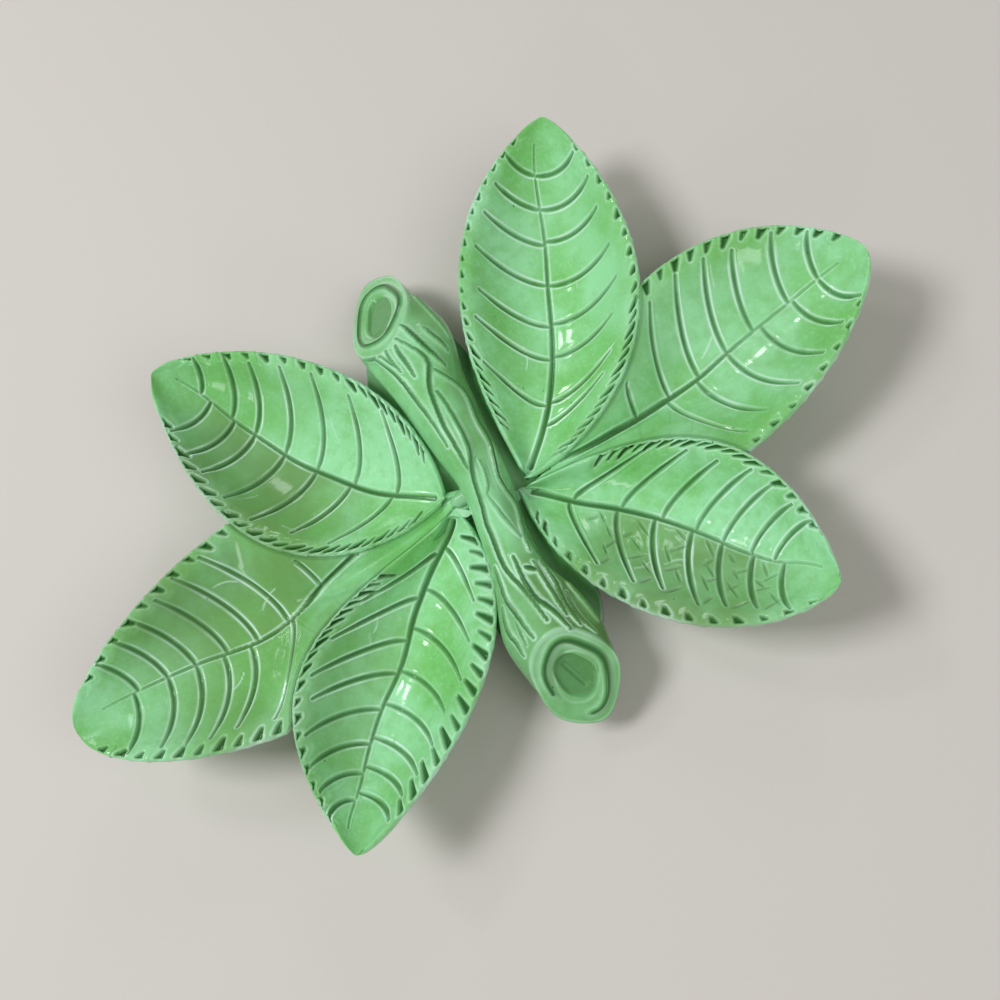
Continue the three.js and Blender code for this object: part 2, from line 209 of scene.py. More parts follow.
def evenly(values):
    """Knots at even steps from -1 to 1."""
    return list(zip(np.linspace(-1, 1, len(values)), values))


def mix(a, b, t):
    return a + (b - a) * t


def step(low, high, x):
    """A smooth rise from 0 to 1 while x runs from low to high."""
    t = np.clip((x - low) / (high - low), 0, 1)
    return t * t * (3 - 2 * t)


def add_object(name, data):
    """A new object in the scene that shows a mesh, a light or a camera."""
    made = bpy.data.objects.new(name, data)
    bpy.context.scene.collection.objects.link(made)
    return made


# Leaves


@dataclass
class Side:
    """One half of a leaf: width as a share of the length, side veins, and pits along the rim in mm."""

    width: float
    full: float
    veins: list
    sweep: float
    reach: float
    pitch: float
    pit: float
    slant: float = 0.45
    slits: float = 0.4
    olive: float = 0.2


@dataclass
class Leaf:
    """One leaf: lengths are shares of the longest leaf or of its own length, as in the solid model."""

    name: str
    fork: tuple
    size: float
    bearing: float
    base: float
    bow: float
    full_tip: float
    tip_round: float
    sway: list
    left: Side
    right: Side
    laps_under: tuple = ()
    neck: float = 0
    scratched: bool = False

    def __post_init__(self):
        turn = math.radians(self.bearing)
        self.length = LONGEST_LEAF * self.size
        self.along = np.array((math.cos(turn), math.sin(turn)))
        self.to_left = np.array((-self.along[1], self.along[0]))
        self.start = np.array(self.fork) + self.base * self.length * self.along
        self.sides = {1: self.left, -1: self.right}

    def tip_distance(self, share):
        """What is left of the length up to the tip, drawn out close to it so that the tip is round."""
        return np.sqrt((1 - share) * (1 - share + 2 * self.tip_round))

    def half_width(self, share, on_left):
        share = np.clip(share, 0, 1)
        full = np.where(on_left, self.left.full, self.right.full)
        widest = full / (full + self.full_tip)
        reach = self.length * np.where(on_left, self.left.width, self.right.width)
        taper = (self.tip_distance(share) / self.tip_distance(widest)) ** self.full_tip
        return reach * (share / widest) ** full * taper

    def plan(self, share, reach):
        """The plan point at a share of the length, reach millimetres left of the middle line."""
        share = np.asarray(share, float)
        sideways = self.bow * self.length * np.sin(np.pi * share) + reach
        forward = share * self.length
        return self.start + forward[..., None] * self.along + sideways[..., None] * self.to_left

    def locate(self, plan):
        """Share of the length, reach left of the middle line, and distance outside the outline."""
        offset = plan - self.start
        run = offset @ self.along / self.length
        share = np.clip(run, 0, 1)
        reach = offset @ self.to_left - self.bow * self.length * np.sin(np.pi * share)
        beside = np.abs(reach) - self.half_width(share, reach > 0)
        beyond = np.hypot((run - share) * self.length, np.maximum(beside, 0))
        return share, reach, np.where(run == share, beside, beyond)

    def covers(self, plan):
        """For each leaf that lies on this one, the share of its length and the distance outside it."""
        for name in self.laps_under:
            share, _, outside = LEAF_NAMED[name].locate(plan)
            yield share, outside

    def on_row(self, row, across):
        """Share and reach on a row that follows the side veins, at a share of the half width."""
        sway = through(self.sway, row)
        on_left = across > sway
        to_left = (across - sway) / (self.left.reach - sway)
        to_right = (sway - across) / (self.right.reach + sway)
        run = np.clip(np.where(on_left, to_left, to_right), 0, VEIN_OVERRUN)
        sweep = np.where(on_left, self.left.sweep, self.right.sweep)
        carry = (VEIN_FAN - row) * step(0, ROW_TURN, row) * step(1, 1 - ROW_TURN, row)
        share = np.minimum(row + sweep * carry * run**VEIN_CURVE, LAST_ROW)
        return share, across * self.half_width(share, across > 0)

    def settle(self):
        """Works out the rows of the leaf, and how far each runs to both sides before it is well hidden."""
        even = np.linspace(0, 1, LEAF_ROWS)
        rows = mix(FIRST_ROW, LAST_ROW, mix(even, 0.5 - 0.5 * np.cos(np.pi * even), ROW_CROWDING))
        tries = np.linspace(-1, 1, ROW_TRIES)
        share, reach = self.on_row(rows[:, None], tries)
        seen = (share > self.neck) | (np.abs(tries) < NECK_REACH)
        for _, outside in self.covers(self.plan(share, reach)):
            seen &= outside > -LAP_UNDER
        spans = []
        middle = len(tries) // 2
        for row in range(LEAF_ROWS - 1, -1, -1):
            near = np.flatnonzero(seen[row])
            if len(near) < 3:
                break
            middle = near[np.abs(near - middle).argmin()]
            gaps = np.flatnonzero(~seen[row])
            low = gaps[gaps < middle].max(initial=-1) + 1
            high = gaps[gaps > middle].min(initial=len(tries)) - 1
            spans.append((tries[low], tries[high]))
            middle = (low + high) // 2
        self.rows = rows[LEAF_ROWS - len(spans):]
        low, high = np.array(spans[::-1]).T
        order = np.arange(len(spans))
        apart = SPAN_STEP * np.abs(np.subtract.outer(order, order))
        self.low, self.high = (low + apart).min(1), (high - apart).max(1)

    def top(self, share, reach):
        """Height of the top: the bowl, a climb to each rim that lies on it, and a dive below that rim."""
        full = self.half_width(share, reach > 0)
        rounding = np.minimum(RIM_ROUND, full / 2)
        past = np.clip((share - LOWEST_AT) / (1 - LOWEST_AT), 0, 1)
        before = np.clip(1 - share / LOWEST_AT, 0, 1)
        floor = LEAF_FLOOR + FLOOR_RISE * before**2 + (RIM_AT_TIP - LEAF_FLOOR) * past**TIP_SWEEP
        across = np.clip(np.abs(reach) / (full - rounding), 0, 1)
        climb = (across / (1 - RIM_LAND)) ** 2 + 1e-6
        at_rim = (1 - RIM_LAND) ** -2
        soft = (climb**-RIM_SOFTNESS + 1) ** (-1 / RIM_SOFTNESS)
        soft /= (at_rim**-RIM_SOFTNESS + 1) ** (-1 / RIM_SOFTNESS)
        height = mix(floor, rim_height(share), soft)
        for cover_share, outside in self.covers(self.plan(share, reach)):
            lap = rim_height(cover_share) - LAP_STEP - LAP_SLOPE * np.maximum(outside, 0)
            blend = np.maximum(LAP_BLEND - np.abs(height - lap), 0) ** 2 / (4 * LAP_BLEND)
            height = np.maximum(height, lap) + blend - LAP_DIVE * np.maximum(-outside, 0)
        return height

    def on_top(self, share, reach):
        """Points on the top, as a line or a row."""
        share, reach = np.broadcast_arrays(share, reach)
        return np.column_stack([self.plan(share, reach), self.top(share, reach)])

    def heading(self, turn):
        """The way that a turn from the middle line leads, in plan."""
        return math.cos(turn) * self.along + math.sin(turn) * self.to_left

    def bare(self, share, reach, margin):
        """Which places are on the part of the leaf that no other leaf covers."""
        free = share > self.rows[0]
        for _, outside in self.covers(self.plan(share, reach)):
            free = free & (outside > margin)
        return free


def rim_height(share):
    return mix(RIM_AT_BRANCH, RIM_AT_TIP, np.clip(share, 0, 1))


LEAVES = [
    Leaf(
        "leaf_left_upper", LEFT_FORK, size=0.725, bearing=128.1, base=0.034, bow=0.052,
        full_tip=1.03, tip_round=0.096,
        sway=[(0.07, 0.03), (0.2, 0.08), (0.42, 0.04), (0.53, 0.03), (0.65, -0.02), (0.76, -0.07),
              (0.93, -0.28)],
        left=Side(0.308, 0.69, [0.18, 0.33, 0.46, 0.58, 0.69, 0.76, 0.84], sweep=0.09, reach=0.8,
                  pitch=5.2, pit=4.4, slant=1.1, slits=0.45, olive=0.85),
        right=Side(0.295, 0.86, [0.17, 0.32, 0.46, 0.58, 0.69, 0.77, 0.87], sweep=0.12, reach=0.83,
                   pitch=6.2, pit=3.8, slits=0.45, olive=0),
    ),
    Leaf(
        "leaf_left_lower", LEFT_FORK, size=0.758, bearing=230, base=0.016, bow=-0.072,
        full_tip=1.155, tip_round=0.066,
        sway=[(0.05, 0.17), (0.14, 0.05), (0.3, 0), (0.5, 0.01), (0.61, -0.08), (0.73, -0.14),
              (0.86, -0.22), (0.94, -0.4)],
        left=Side(0.293, 0.85, [0.12, 0.25, 0.37, 0.5, 0.6, 0.7, 0.78, 0.85], sweep=0.15, reach=0.71,
                  pitch=5.6, pit=7.4, slits=0.1, olive=0),
        right=Side(0.246, 1.51, [0.14, 0.28, 0.41, 0.51, 0.62, 0.72, 0.8, 0.87], sweep=0.2, reach=0.8,
                   pitch=5.2, pit=3.6, slits=0.6, olive=0.4),
        laps_under=("leaf_left_upper",),
    ),
    Leaf(
        "leaf_left_middle", LEFT_FORK, size=1, bearing=184.1, base=-0.0585, bow=-0.017,
        full_tip=0.788, tip_round=0.092,
        sway=[(0.14, -0.1), (0.36, -0.01), (0.45, 0.02), (0.53, 0.08), (0.61, 0.09), (0.67, 0.05),
              (0.75, -0.02), (0.87, -0.1), (0.96, -0.15)],
        left=Side(0.288, 0.58, [0.52, 0.63, 0.69, 0.75, 0.81, 0.88], sweep=0.16, reach=0.8,
                  pitch=6.0, pit=5.2, olive=0.5),
        right=Side(0.224, 0.557, [0.35, 0.42, 0.53, 0.61, 0.68, 0.75, 0.81, 0.87], sweep=0.12, reach=0.86,
                   pitch=6.6, pit=4.4, olive=0.75),
        laps_under=("leaf_left_upper", "leaf_left_lower"),
        neck=0.1,
    ),
    Leaf(
        "leaf_right_upper", RIGHT_FORK, size=0.816, bearing=56.8, base=0.03, bow=-0.03,
        full_tip=0.842, tip_round=0.015,
        sway=[(0.05, -0.09), (0.15, -0.11), (0.27, -0.09), (0.42, -0.03), (0.57, 0.05), (0.74, 0.11),
              (0.95, 0.32)],
        left=Side(0.254, 1.09, [0.23, 0.37, 0.47, 0.59, 0.7, 0.79, 0.87], sweep=0.1, reach=0.79,
                  pitch=5.2, pit=2.8, olive=0.1),
        right=Side(0.267, 0.75, [0.17, 0.24, 0.38, 0.48, 0.59, 0.71, 0.79, 0.87], sweep=0.13, reach=0.71,
                   pitch=6.4, pit=3.4, slits=0.55, olive=0),
    ),
    Leaf(
        "leaf_right_lower", RIGHT_FORK, size=0.708, bearing=-49.8, base=-0.017, bow=0.094,
        full_tip=0.81, tip_round=0.012,
        sway=[(0.03, -0.04), (0.16, -0.11), (0.3, -0.09), (0.6, -0.1), (0.73, -0.12), (0.85, -0.05),
              (0.94, 0.2)],
        left=Side(0.219, 1.034, [0.17, 0.32, 0.45, 0.56, 0.65, 0.74, 0.81], sweep=0.17, reach=0.77,
                  pitch=5.2, pit=4.2, slits=0.75, olive=0),
        right=Side(0.342, 0.893, [0.16, 0.31, 0.43, 0.55, 0.65, 0.75, 0.84], sweep=0.16, reach=0.76,
                   pitch=7.0, pit=3.8, slits=0.15, olive=0.85),
        laps_under=("leaf_right_upper",),
        scratched=True,
    ),
    Leaf(
        "leaf_right_middle", RIGHT_FORK, size=0.8745, bearing=2.3, base=-0.004, bow=0.009,
        full_tip=0.72, tip_round=0.012,
        sway=[(0.06, 0.3), (0.16, 0.06), (0.29, 0), (0.45, 0.02), (0.54, 0.03), (0.63, 0.07),
              (0.84, 0.12), (0.94, 0.16)],
        left=Side(0.274, 1.1, [0.35, 0.45, 0.54, 0.63, 0.71, 0.81, 0.89], sweep=0.12, reach=0.82,
                  pitch=5.6, pit=4.8),
        right=Side(0.26, 0.62, [0.44, 0.53, 0.63, 0.73, 0.82, 0.89], sweep=0.13, reach=0.78,
                   pitch=7.0, pit=3.1),
        laps_under=("leaf_right_upper", "leaf_right_lower"),
        neck=0.1,
    ),
]
LEAF_NAMED = {leaf.name: leaf for leaf in LEAVES}


def under_height(leaf, plan):
    """Height of the underside of a leaf over plan points, far up where it doesn't reach."""
    share, reach, outside = leaf.locate(plan)
    here = (outside < 0) & leaf.bare(share, reach, 0)
    return np.where(here, leaf.top(np.clip(share, FIRST_ROW, LAST_ROW), reach) - WALL, FAR_UP)


def quads(rows, around):
    """Faces between neighbouring rings, and last those between the last ring and the first."""
    here = np.arange(rows * around).reshape(rows, around)
    right = np.roll(here, -1, axis=1)
    ahead = [np.roll(ring, -1, axis=0) for ring in (right, here)]
    return np.stack([here, right, *ahead], -1)


# Notes that only the pattern tree reads
WORK_NOTES = ("stroke", "half_width", "depth", "pool_and_shade", "edge")


class Blank:
    """A closed lofted piece of clay, with notes on its glaze and its painted shade, and the strokes to be
    pressed into it.
    """

    def __init__(self, rings, **notes):
        rows, around = rings.shape[:2]
        self.points = np.vstack([rings.reshape(-1, 3), rings[0].mean(0), rings[-1].mean(0)])
        self.faces = quads(rows, around)[:-1].reshape(-1, 4).tolist()
        for row, middle, turned in ((0, rows * around, True), (rows - 1, rows * around + 1, False)):
            ring = row * around + np.arange(around)
            pairs = zip(ring.tolist(), np.roll(ring, -1).tolist())
            self.faces += [[middle, b, a] if turned else [middle, a, b] for a, b in pairs]
        self.notes = {}
        for label, values in notes.items():
            self.notes[label] = np.append(values.reshape(-1), [values[0].mean(), values[-1].mean()])
        self.strokes = []

    def press(self, kind, points, half_width, depth):
        """Adds a stroke through points, with its half width and depth at each point."""
        if len(points) > 1:
            sizes = {"stroke": kind, "half_width": half_width * MM, "depth": depth * MM}
            self.strokes.append((points, sizes))

    def mesh(self, name):
        """The faces and the strokes as one mesh, with every note at each point."""
        points, edges = [self.points], []
        count = len(self.points)
        plain = np.zeros(count)
        columns = {label: [self.notes.get(label, plain)] for label in (*WORK_NOTES, "olive")}
        for line, sizes in self.strokes:
            edges += [(count + i, count + i + 1) for i in range(len(line) - 1)]
            count += len(line)
            points.append(line)
            for label, values in columns.items():
                values.append(np.broadcast_to(sizes.get(label, 0), len(line)))
        mesh = bpy.data.meshes.new(name)
        mesh.from_pydata((np.vstack(points) * MM).tolist(), edges, self.faces)
        for label, values in columns.items():
            attribute = mesh.attributes.new(label, "FLOAT", "POINT")
            attribute.data.foreach_set("value", np.concatenate(values).astype(np.float32))
        return mesh


def leaf_blank(leaf):
    """The bowl of a leaf with a round rim, before its veins are pressed."""
    columns = np.linspace(0, 1, LEAF_COLUMNS)
    under = np.linspace(1, 0, UNDER_COLUMNS)[1:-1]
    turns = np.linspace(np.pi / 2, -np.pi / 2, LIP_COLUMNS)[1:]
    ends = {1: leaf.high, -1: leaf.low}
    edges = {side: leaf.on_row(leaf.rows, across) for side, across in ends.items()}
    rounding = np.minimum(RIM_ROUND, (edges[1][1] - edges[-1][1]) / 4)
    inner = {}
    for side, across in ends.items():
        width = np.maximum(leaf.half_width(edges[side][0], across > 0), LEAST_WIDTH)
        inner[side] = across - side * rounding / width

    def level(column, drop=0.0):
        across = mix(inner[1], inner[-1], column)
        share, reach = leaf.on_row(leaf.rows, across)
        thick = mix(WALL, RIM_THICKNESS, np.clip(np.abs(across), 0, 1))
        return np.column_stack([leaf.plan(share, reach), leaf.top(share, reach) - drop * thick])

    def lip(side):
        start = leaf.on_top(*leaf.on_row(leaf.rows, inner[side]))
        end = leaf.plan(*edges[side])
        for turn in turns:
            plan = mix(start[:, :2], end, math.cos(turn))
            yield np.column_stack([plan, start[:, 2] - RIM_THICKNESS / 2 * (1 - math.sin(turn))])

    rings = [level(column) for column in columns]
    rings += list(lip(-1))
    rings += [level(column, 1.0) for column in under]
    rings += list(lip(1))[::-1]
    rings = np.stack(rings, 1)
    around = rings.shape[1]
    pool_and_shade = np.zeros(rings.shape[:2])
    # painted shade, with pooled glaze, close under the rim of each leaf that lies on this one
    for _, outside in leaf.covers(rings[..., :2]):
        pool_and_shade = np.maximum(pool_and_shade, LAP_POOL_AND_SHADE * step(*LAP_SHADE, outside))
    share, reach, outside = leaf.locate(rings[..., :2])
    sway = through(leaf.sway, share) * leaf.half_width(share, reach > 0)
    olive = mix(leaf.right.olive, leaf.left.olive, step(-OLIVE_BLEND, OLIVE_BLEND, reach - sway))
    olive = olive * step(*OLIVE_START, share) * step(*OLIVE_END, share)
    edge = RIM_PALE * (1 - step(*RIM_PALE_END, -outside))
    below = np.arange(around)
    is_under = (below >= LEAF_COLUMNS + LIP_COLUMNS // 2) & (below < around - LIP_COLUMNS // 2)
    edge[:, is_under] = 0
    olive[:, is_under] *= OLIVE_BELOW
    blank = Blank(rings, pool_and_shade=pool_and_shade, edge=edge, olive=olive)
    press_leaf(leaf, blank)
    return blank


def press_leaf(leaf, blank):
    """Presses the midrib, and then the rest of the pattern."""
    run = np.linspace(0, 1, MIDRIB_POINTS)
    share = mix(max(MIDRIB_RUN[0], leaf.rows[0] + 0.01), MIDRIB_RUN[1], run)
    sway = through(leaf.sway, share)
    line = leaf.on_top(share, sway * leaf.half_width(share, sway > 0))
    start = mix(NECK_MIDRIB_FIRST if leaf.neck else MIDRIB_FIRST, 1, step(0, MIDRIB_START, run))
    half_width = MIDRIB_HALF_WIDTH * start * mix(1, MIDRIB_LAST_WIDTH, run)
    blank.press(MIDRIB, line, half_width, MIDRIB_DEPTH * start * mix(1, MIDRIB_LAST_DEPTH, run**2))
    for side, half in leaf.sides.items():
        press_veins(leaf, blank, side, half)
        press_pits(leaf, blank, side, half)
    press_hairlines(leaf, blank)
    if leaf.scratched:
        press_scratches(leaf, blank)


def press_veins(leaf, blank, side, half):
    """Side veins from the midrib outwards, as far as no other leaf covers them."""
    run = np.linspace(0, 1, VEIN_POINTS)
    for order, station in enumerate(half.veins):
        width = leaf.half_width(station, side > 0)
        inner = through(leaf.sway, station) + side * VEIN_START / width
        outer = side * (half.reach + VEIN_WAVER * math.sin(2.3 * order + leaf.bearing))
        share, reach = leaf.on_row(np.full(run.shape, station), mix(inner, outer, run))
        kept = leaf.bare(share, reach, VEIN_MARGIN)
        if kept.sum() > VEIN_LEAST_POINTS:
            along = np.linspace(0, 1, kept.sum())
            swell = 1 - VEIN_END_LOSS * step(0.7, 1, along) - VEIN_START_LOSS * step(0.15, 0, along)
            line = leaf.on_top(share[kept], reach[kept])
            blank.press(VEIN, line, VEIN_HALF_WIDTH * swell, VEIN_DEPTH * swell)


def press_pits(leaf, blank, side, half):
    """Drop-shaped pits along the rim, and slanted slits close to the base."""
    share = np.linspace(*PIT_RUN, RIM_POINTS)
    edge = leaf.plan(share, side * leaf.half_width(share, side > 0))
    heading = np.gradient(edge, axis=0)
    heading /= np.linalg.norm(heading, axis=1)[:, None]
    travel = np.append(0, np.cumsum(np.linalg.norm(np.diff(edge, axis=0), axis=1)))
    run = np.linspace(0, 1, PIT_POINTS)
    mark, order = SLIT_PITCH, 0
    while mark < travel[-1] - PIT_STOP * half.pitch:
        place = np.searchsorted(travel, mark)
        slit = step(half.slits + SLIT_FADE, half.slits - SLIT_FADE, share[place])
        size = 1 + PIT_UNEVEN * math.sin(3.7 * order + leaf.bearing)
        half_width = mix(PIT_HALF_WIDTH, SLIT_HALF_WIDTH, slit) * size
        pit = half.pit * mix(1, PIT_TIP_LENGTH, step(*PIT_TIP, share[place]))
        length = mix(pit, SLIT_LENGTH, slit) * size
        inward = max(length - PIT_ENDS * half_width, PIT_LEAST) * run
        back = mix(half.slant, SLIT_SLANT, slit) * inward
        across = side * np.array((heading[place, 1], -heading[place, 0]))
        inset = mix(PIT_INSET, SLIT_INSET, slit) + inward
        plan = edge[place] + inset[:, None] * across - back[:, None] * heading[place]
        places, reach, outside = leaf.locate(plan)
        clear = (outside < -PIT_FROM_RIM).all() and np.abs(reach).min() > PIT_FROM_MIDDLE
        roomy = leaf.half_width(places, side > 0).min() > PIT_ROOM
        if clear and roomy and leaf.bare(places, reach, PIT_FROM_LAP).all():
            depth = mix(PIT_DEPTH, SLIT_DEPTH, slit) * size * mix(1, PIT_LAST_DEPTH, run)
            blank.press(PIT, leaf.on_top(places, reach), half_width * mix(*PIT_WIDTHS, run), depth)
        mark += mix(half.pitch, SLIT_PITCH, slit)
        order += 1


def press_hairlines(leaf, blank):
    """A few fine raised lines where the glaze broke."""
    chance = np.random.default_rng(int(leaf.bearing) % 97 + 3)
    run = np.linspace(-0.5, 0.5, HAIR_POINTS)
    for _ in range(HAIRLINES):
        heading = leaf.heading(chance.uniform(-HAIR_TURN, HAIR_TURN))
        length = chance.uniform(*HAIR_LENGTH)
        place = chance.uniform(*HAIR_PLACE)
        across = chance.choice((-1, 1)) * chance.uniform(*HAIR_ACROSS)
        bend = chance.uniform(-HAIR_BEND, HAIR_BEND) * (1 - 4 * run**2)
        middle = leaf.plan(place, across * leaf.half_width(place, across > 0))
        plan = middle + length * run[:, None] * heading
        plan = plan + bend[:, None] * np.array((-heading[1], heading[0]))
        share, reach, outside = leaf.locate(plan)
        if (outside < -HAIR_FROM_RIM).all() and leaf.bare(share, reach, HAIR_FROM_LAP).all():
            fade = 1 - np.abs(2 * run) ** 4
            half_width = HAIR_HALF_WIDTH * mix(0.5, 0.9, fade)
            blank.press(RIDGE, leaf.on_top(share, reach), half_width, HAIR_HEIGHT * mix(0.2, 0.8, fade))


def press_scratches(leaf, blank):
    """Short crossed strokes between the side veins on the right half of a leaf."""
    chance = np.random.default_rng(SCRATCH_SEED)
    run = np.linspace(-0.5, 0.5, SCRATCH_POINTS)
    half = leaf.right
    for here, there in zip(half.veins, half.veins[1:]):
        for order in range(SCRATCHES):
            across = -mix(*SCRATCH_ACROSS, (order + chance.uniform(*SCRATCH_SPREAD)) / SCRATCHES)
            share = mix(here, there, chance.uniform(*SCRATCH_BETWEEN))
            share += half.sweep * (VEIN_FAN - share) * (abs(across) / half.reach) ** VEIN_CURVE
            heading = leaf.heading((1 if order % 2 else -1) * chance.uniform(*SCRATCH_TURN))
            middle = leaf.plan(share, across * leaf.half_width(share, False))
            plan = middle + run[:, None] * chance.uniform(*SCRATCH_LENGTH) * heading
            places, reach, _ = leaf.locate(plan)
            taper = 1 - np.abs(2 * run) ** 3
            line = leaf.on_top(places, np.minimum(reach, 0))
            half_width = SCRATCH_HALF_WIDTH * mix(0.6, 1, taper)
            blank.press(SCRATCH, line, half_width, SCRATCH_DEPTH * mix(0.3, 1, taper))


# Branch

LOG_MIDDLE_Y = -3.7
LOG_HALF_LENGTH = 66.0
LOG_MIDDLE_X = evenly([2, 2, 1.9, 3.4, 5.9, 5.6, 5.6, 6.5, 2.2])
LOG_HALF_WIDTH = evenly([12.4, 14.2, 9.3, 7.4, 8, 9.6, 11.2, 13.8, 11.8])
LOG_HALF_HEIGHT = evenly([9, 10.5, 9])
LOG_HEIGHT = [(-1, 21), (-0.6, 17.2), (0, 14.5), (0.6, 17.2), (1, 21)]
UPPER_SLANT = 1.74
LOWER_SLANT = 1.38
UPPER_YAW = 0.49
FACE_PEAK = 0.14
FACE_PEAK_SHARPNESS = 6
FACE_RIM = 0.035
FACE_PALE = 0.55
HEART_SIDE = (0.5, 0.42)
HEART_DEPTH = 1.1
HEART_DAMP = 0.45
# Painted shade low along the sides of the log, beside the leaves
VALLEY_PAINTED_SHADE = 0.8
LEFT_OLIVE = 0.45
RIGHT_OLIVE = 0.5
FACE_OLIVES = (0.3, 0.1)
LOG_ROWS = 380
LOG_CROWDING = 0.94
LOG_SIDES = 190
LOG_SIDES_ABOVE = 160
LOG_SHOWN = 0.1
FACE_RINGS = 60
BARK_WIDENING = 0.9
BARK_DEEPENING = 1.25

# Bark grooves, each as half width, depth and plan points from the upper end to the lower one
BARK_LINES = [
    (1.1, 0.9, [(7.5, 51), (8.6, 47.7), (10, 42.7), (11.1, 39.3), (13, 33.3)]),
    (0.95, 0.8, [(3.9, 47.7), (7, 42.7), (8.5, 39.3), (9, 35.6), (7.5, 32.6), (5.7, 28.7), (4.9, 25),
                 (4.1, 19.7), (3.7, 14.5), (3.9, 6), (3.9, 0)]),
    (0.95, 0.85, [(9.6, 33), (11.5, 29.8), (13, 26.5), (13.7, 22), (12.9, 13.2), (13, 7.6), (12.6, 3),
                  (10.4, -5.6), (10.2, -10.6), (10.4, -15.9), (8.5, -25.6), (7.9, -31.4)]),
    (0.85, 0.7, [(-6.3, 50), (-4.4, 45.5), (-2.2, 40.5), (-0.7, 34.8), (0.1, 28.3), (0.9, 22.7),
                 (1.4, 17), (1.7, 9.5)]),
    (0.65, 0.55, [(-3.2, 46.6), (-1.8, 43.5), (-0.3, 40.5), (0.5, 38.2)]),
    (0.65, 0.5, [(-0.8, 47), (-0.7, 43.5), (0.1, 39.7)]),
    (0.9, 0.65, [(2.6, 45.8), (2.6, 42.7), (3.1, 39.7), (3.5, 34.5)]),
    (1, 0.7, [(13, 47.7), (14.1, 44.2), (15.5, 40.5), (16, 37.8)]),
    (0.95, 0.8, [(7, 26.5), (7.4, 22.7), (7.6, 15.7), (7.4, 9.8), (6.6, 4.5), (4.2, -3), (2.4, -12.2),
                 (0.9, -17.8), (0.4, -22.8), (-0.5, -29.3), (-0.5, -34.3), (1.1, -41.2), (1.9, -45.5),
                 (3, -53.3)]),
    (0.95, 0.8, [(3, -31.2), (2.5, -38), (2.5, -42.4), (3.1, -46.3), (4.6, -49.3), (6.2, -53.3),
                 (7.4, -58.5)]),
    (1, 0.9, [(4.6, -35.9), (5.6, -36.9), (6.6, -38)]),
    (0.75, 0.65, [(7.4, -35.2), (7.6, -40.4), (7.9, -44.4), (8.1, -49.3), (8.4, -54.3)]),
    (0.85, 0.75, [(9, -36.4), (9.8, -41.2), (10, -45.3), (9.5, -50), (9.8, -54.9), (10.4, -58.3)]),
    (0.9, 0.75, [(-3.2, -30.8), (-3.9, -35.6), (-4.7, -41.8), (-4, -46.9), (-3.7, -50.5), (-2.8, -55.8)]),
    (0.9, 0.75, [(-6.9, -42.4), (-8.2, -46.9), (-8.7, -50.5), (-7.9, -54.3), (-7.8, -58.3)]),
    (0.6, 0.5, [(-5.4, -48.4), (-5.5, -52.5), (-5.8, -56.5)]),
    (0.7, 0.6, [(11.4, -48), (11, -52.5), (11.5, -57.4), (13.1, -62)]),
    (0.7, 0.6, [(13.1, -45.5), (14.4, -51.8), (15.4, -59.3)]),
    (0.8, 0.4, [(5, -10.7), (6.2, -19.8), (7.5, -26.2)]),
    (0.55, 0.45, [(7.9, 1), (7.5, -3.8), (6.5, -7.7), (4.7, -10.5)]),
    (0.7, 0.6, [(14.9, 62), (16, 58), (17.1, 53), (18.2, 47.3), (18.6, 42.7)]),
]

# Groove round each cut face: which end, its share of the face, and where it starts and stops round it
FACE_GROOVES = [(1.0, 0.72, 0.0, 1.0), (-1.0, 0.74, 0.02, 0.82)]
FACE_RIDGE = 0.53


def log_point(along, turn, shrink=1.0):
    """A point of the log: along runs from -1 to 1 between its cut faces, turn goes round it from +X."""
    along, turn, shrink = np.broadcast_arrays(*map(np.asarray, (along, turn, shrink)))
    middle = through(LOG_MIDDLE_X, along)
    half_width = through(LOG_HALF_WIDTH, along)
    half_height = through(LOG_HALF_HEIGHT, along)
    lumps = 1 + 0.03 * np.sin(3 * turn + 5 * along + 1) + 0.02 * np.sin(5 * turn - 8 * along)
    across = half_width * np.cos(turn) * lumps
    peak = FACE_PEAK * along**2 * np.maximum(0, -np.sin(turn)) ** FACE_PEAK_SHARPNESS
    rise = half_height * np.sin(turn) * lumps * (1 + peak)
    across, rise = across * shrink, rise * shrink
    upper = np.clip(along, 0, 1) ** 2
    lower = np.clip(-along, 0, 1) ** 2
    slide = UPPER_YAW * upper * across - (UPPER_SLANT * upper - LOWER_SLANT * lower) * rise
    y = LOG_MIDDLE_Y + LOG_HALF_LENGTH * along + slide
    return np.stack([middle + across, y, through(LOG_HEIGHT, along) + rise], -1)


def face_outward(end):
    """The way a cut face looks."""
    middle, right, top = log_point(end, 0.0, 0.0), log_point(end, 0.0), log_point(end, np.pi / 2)
    normal = np.cross(right - middle, top - middle)
    return normal / np.linalg.norm(normal) * (1 if normal[2] > 0 else -1)


def heart_oval(turn):
    """How far the heart of a cut face runs out, round it."""
    return 1 + 0.08 * np.sin(2 * turn + 0.6)


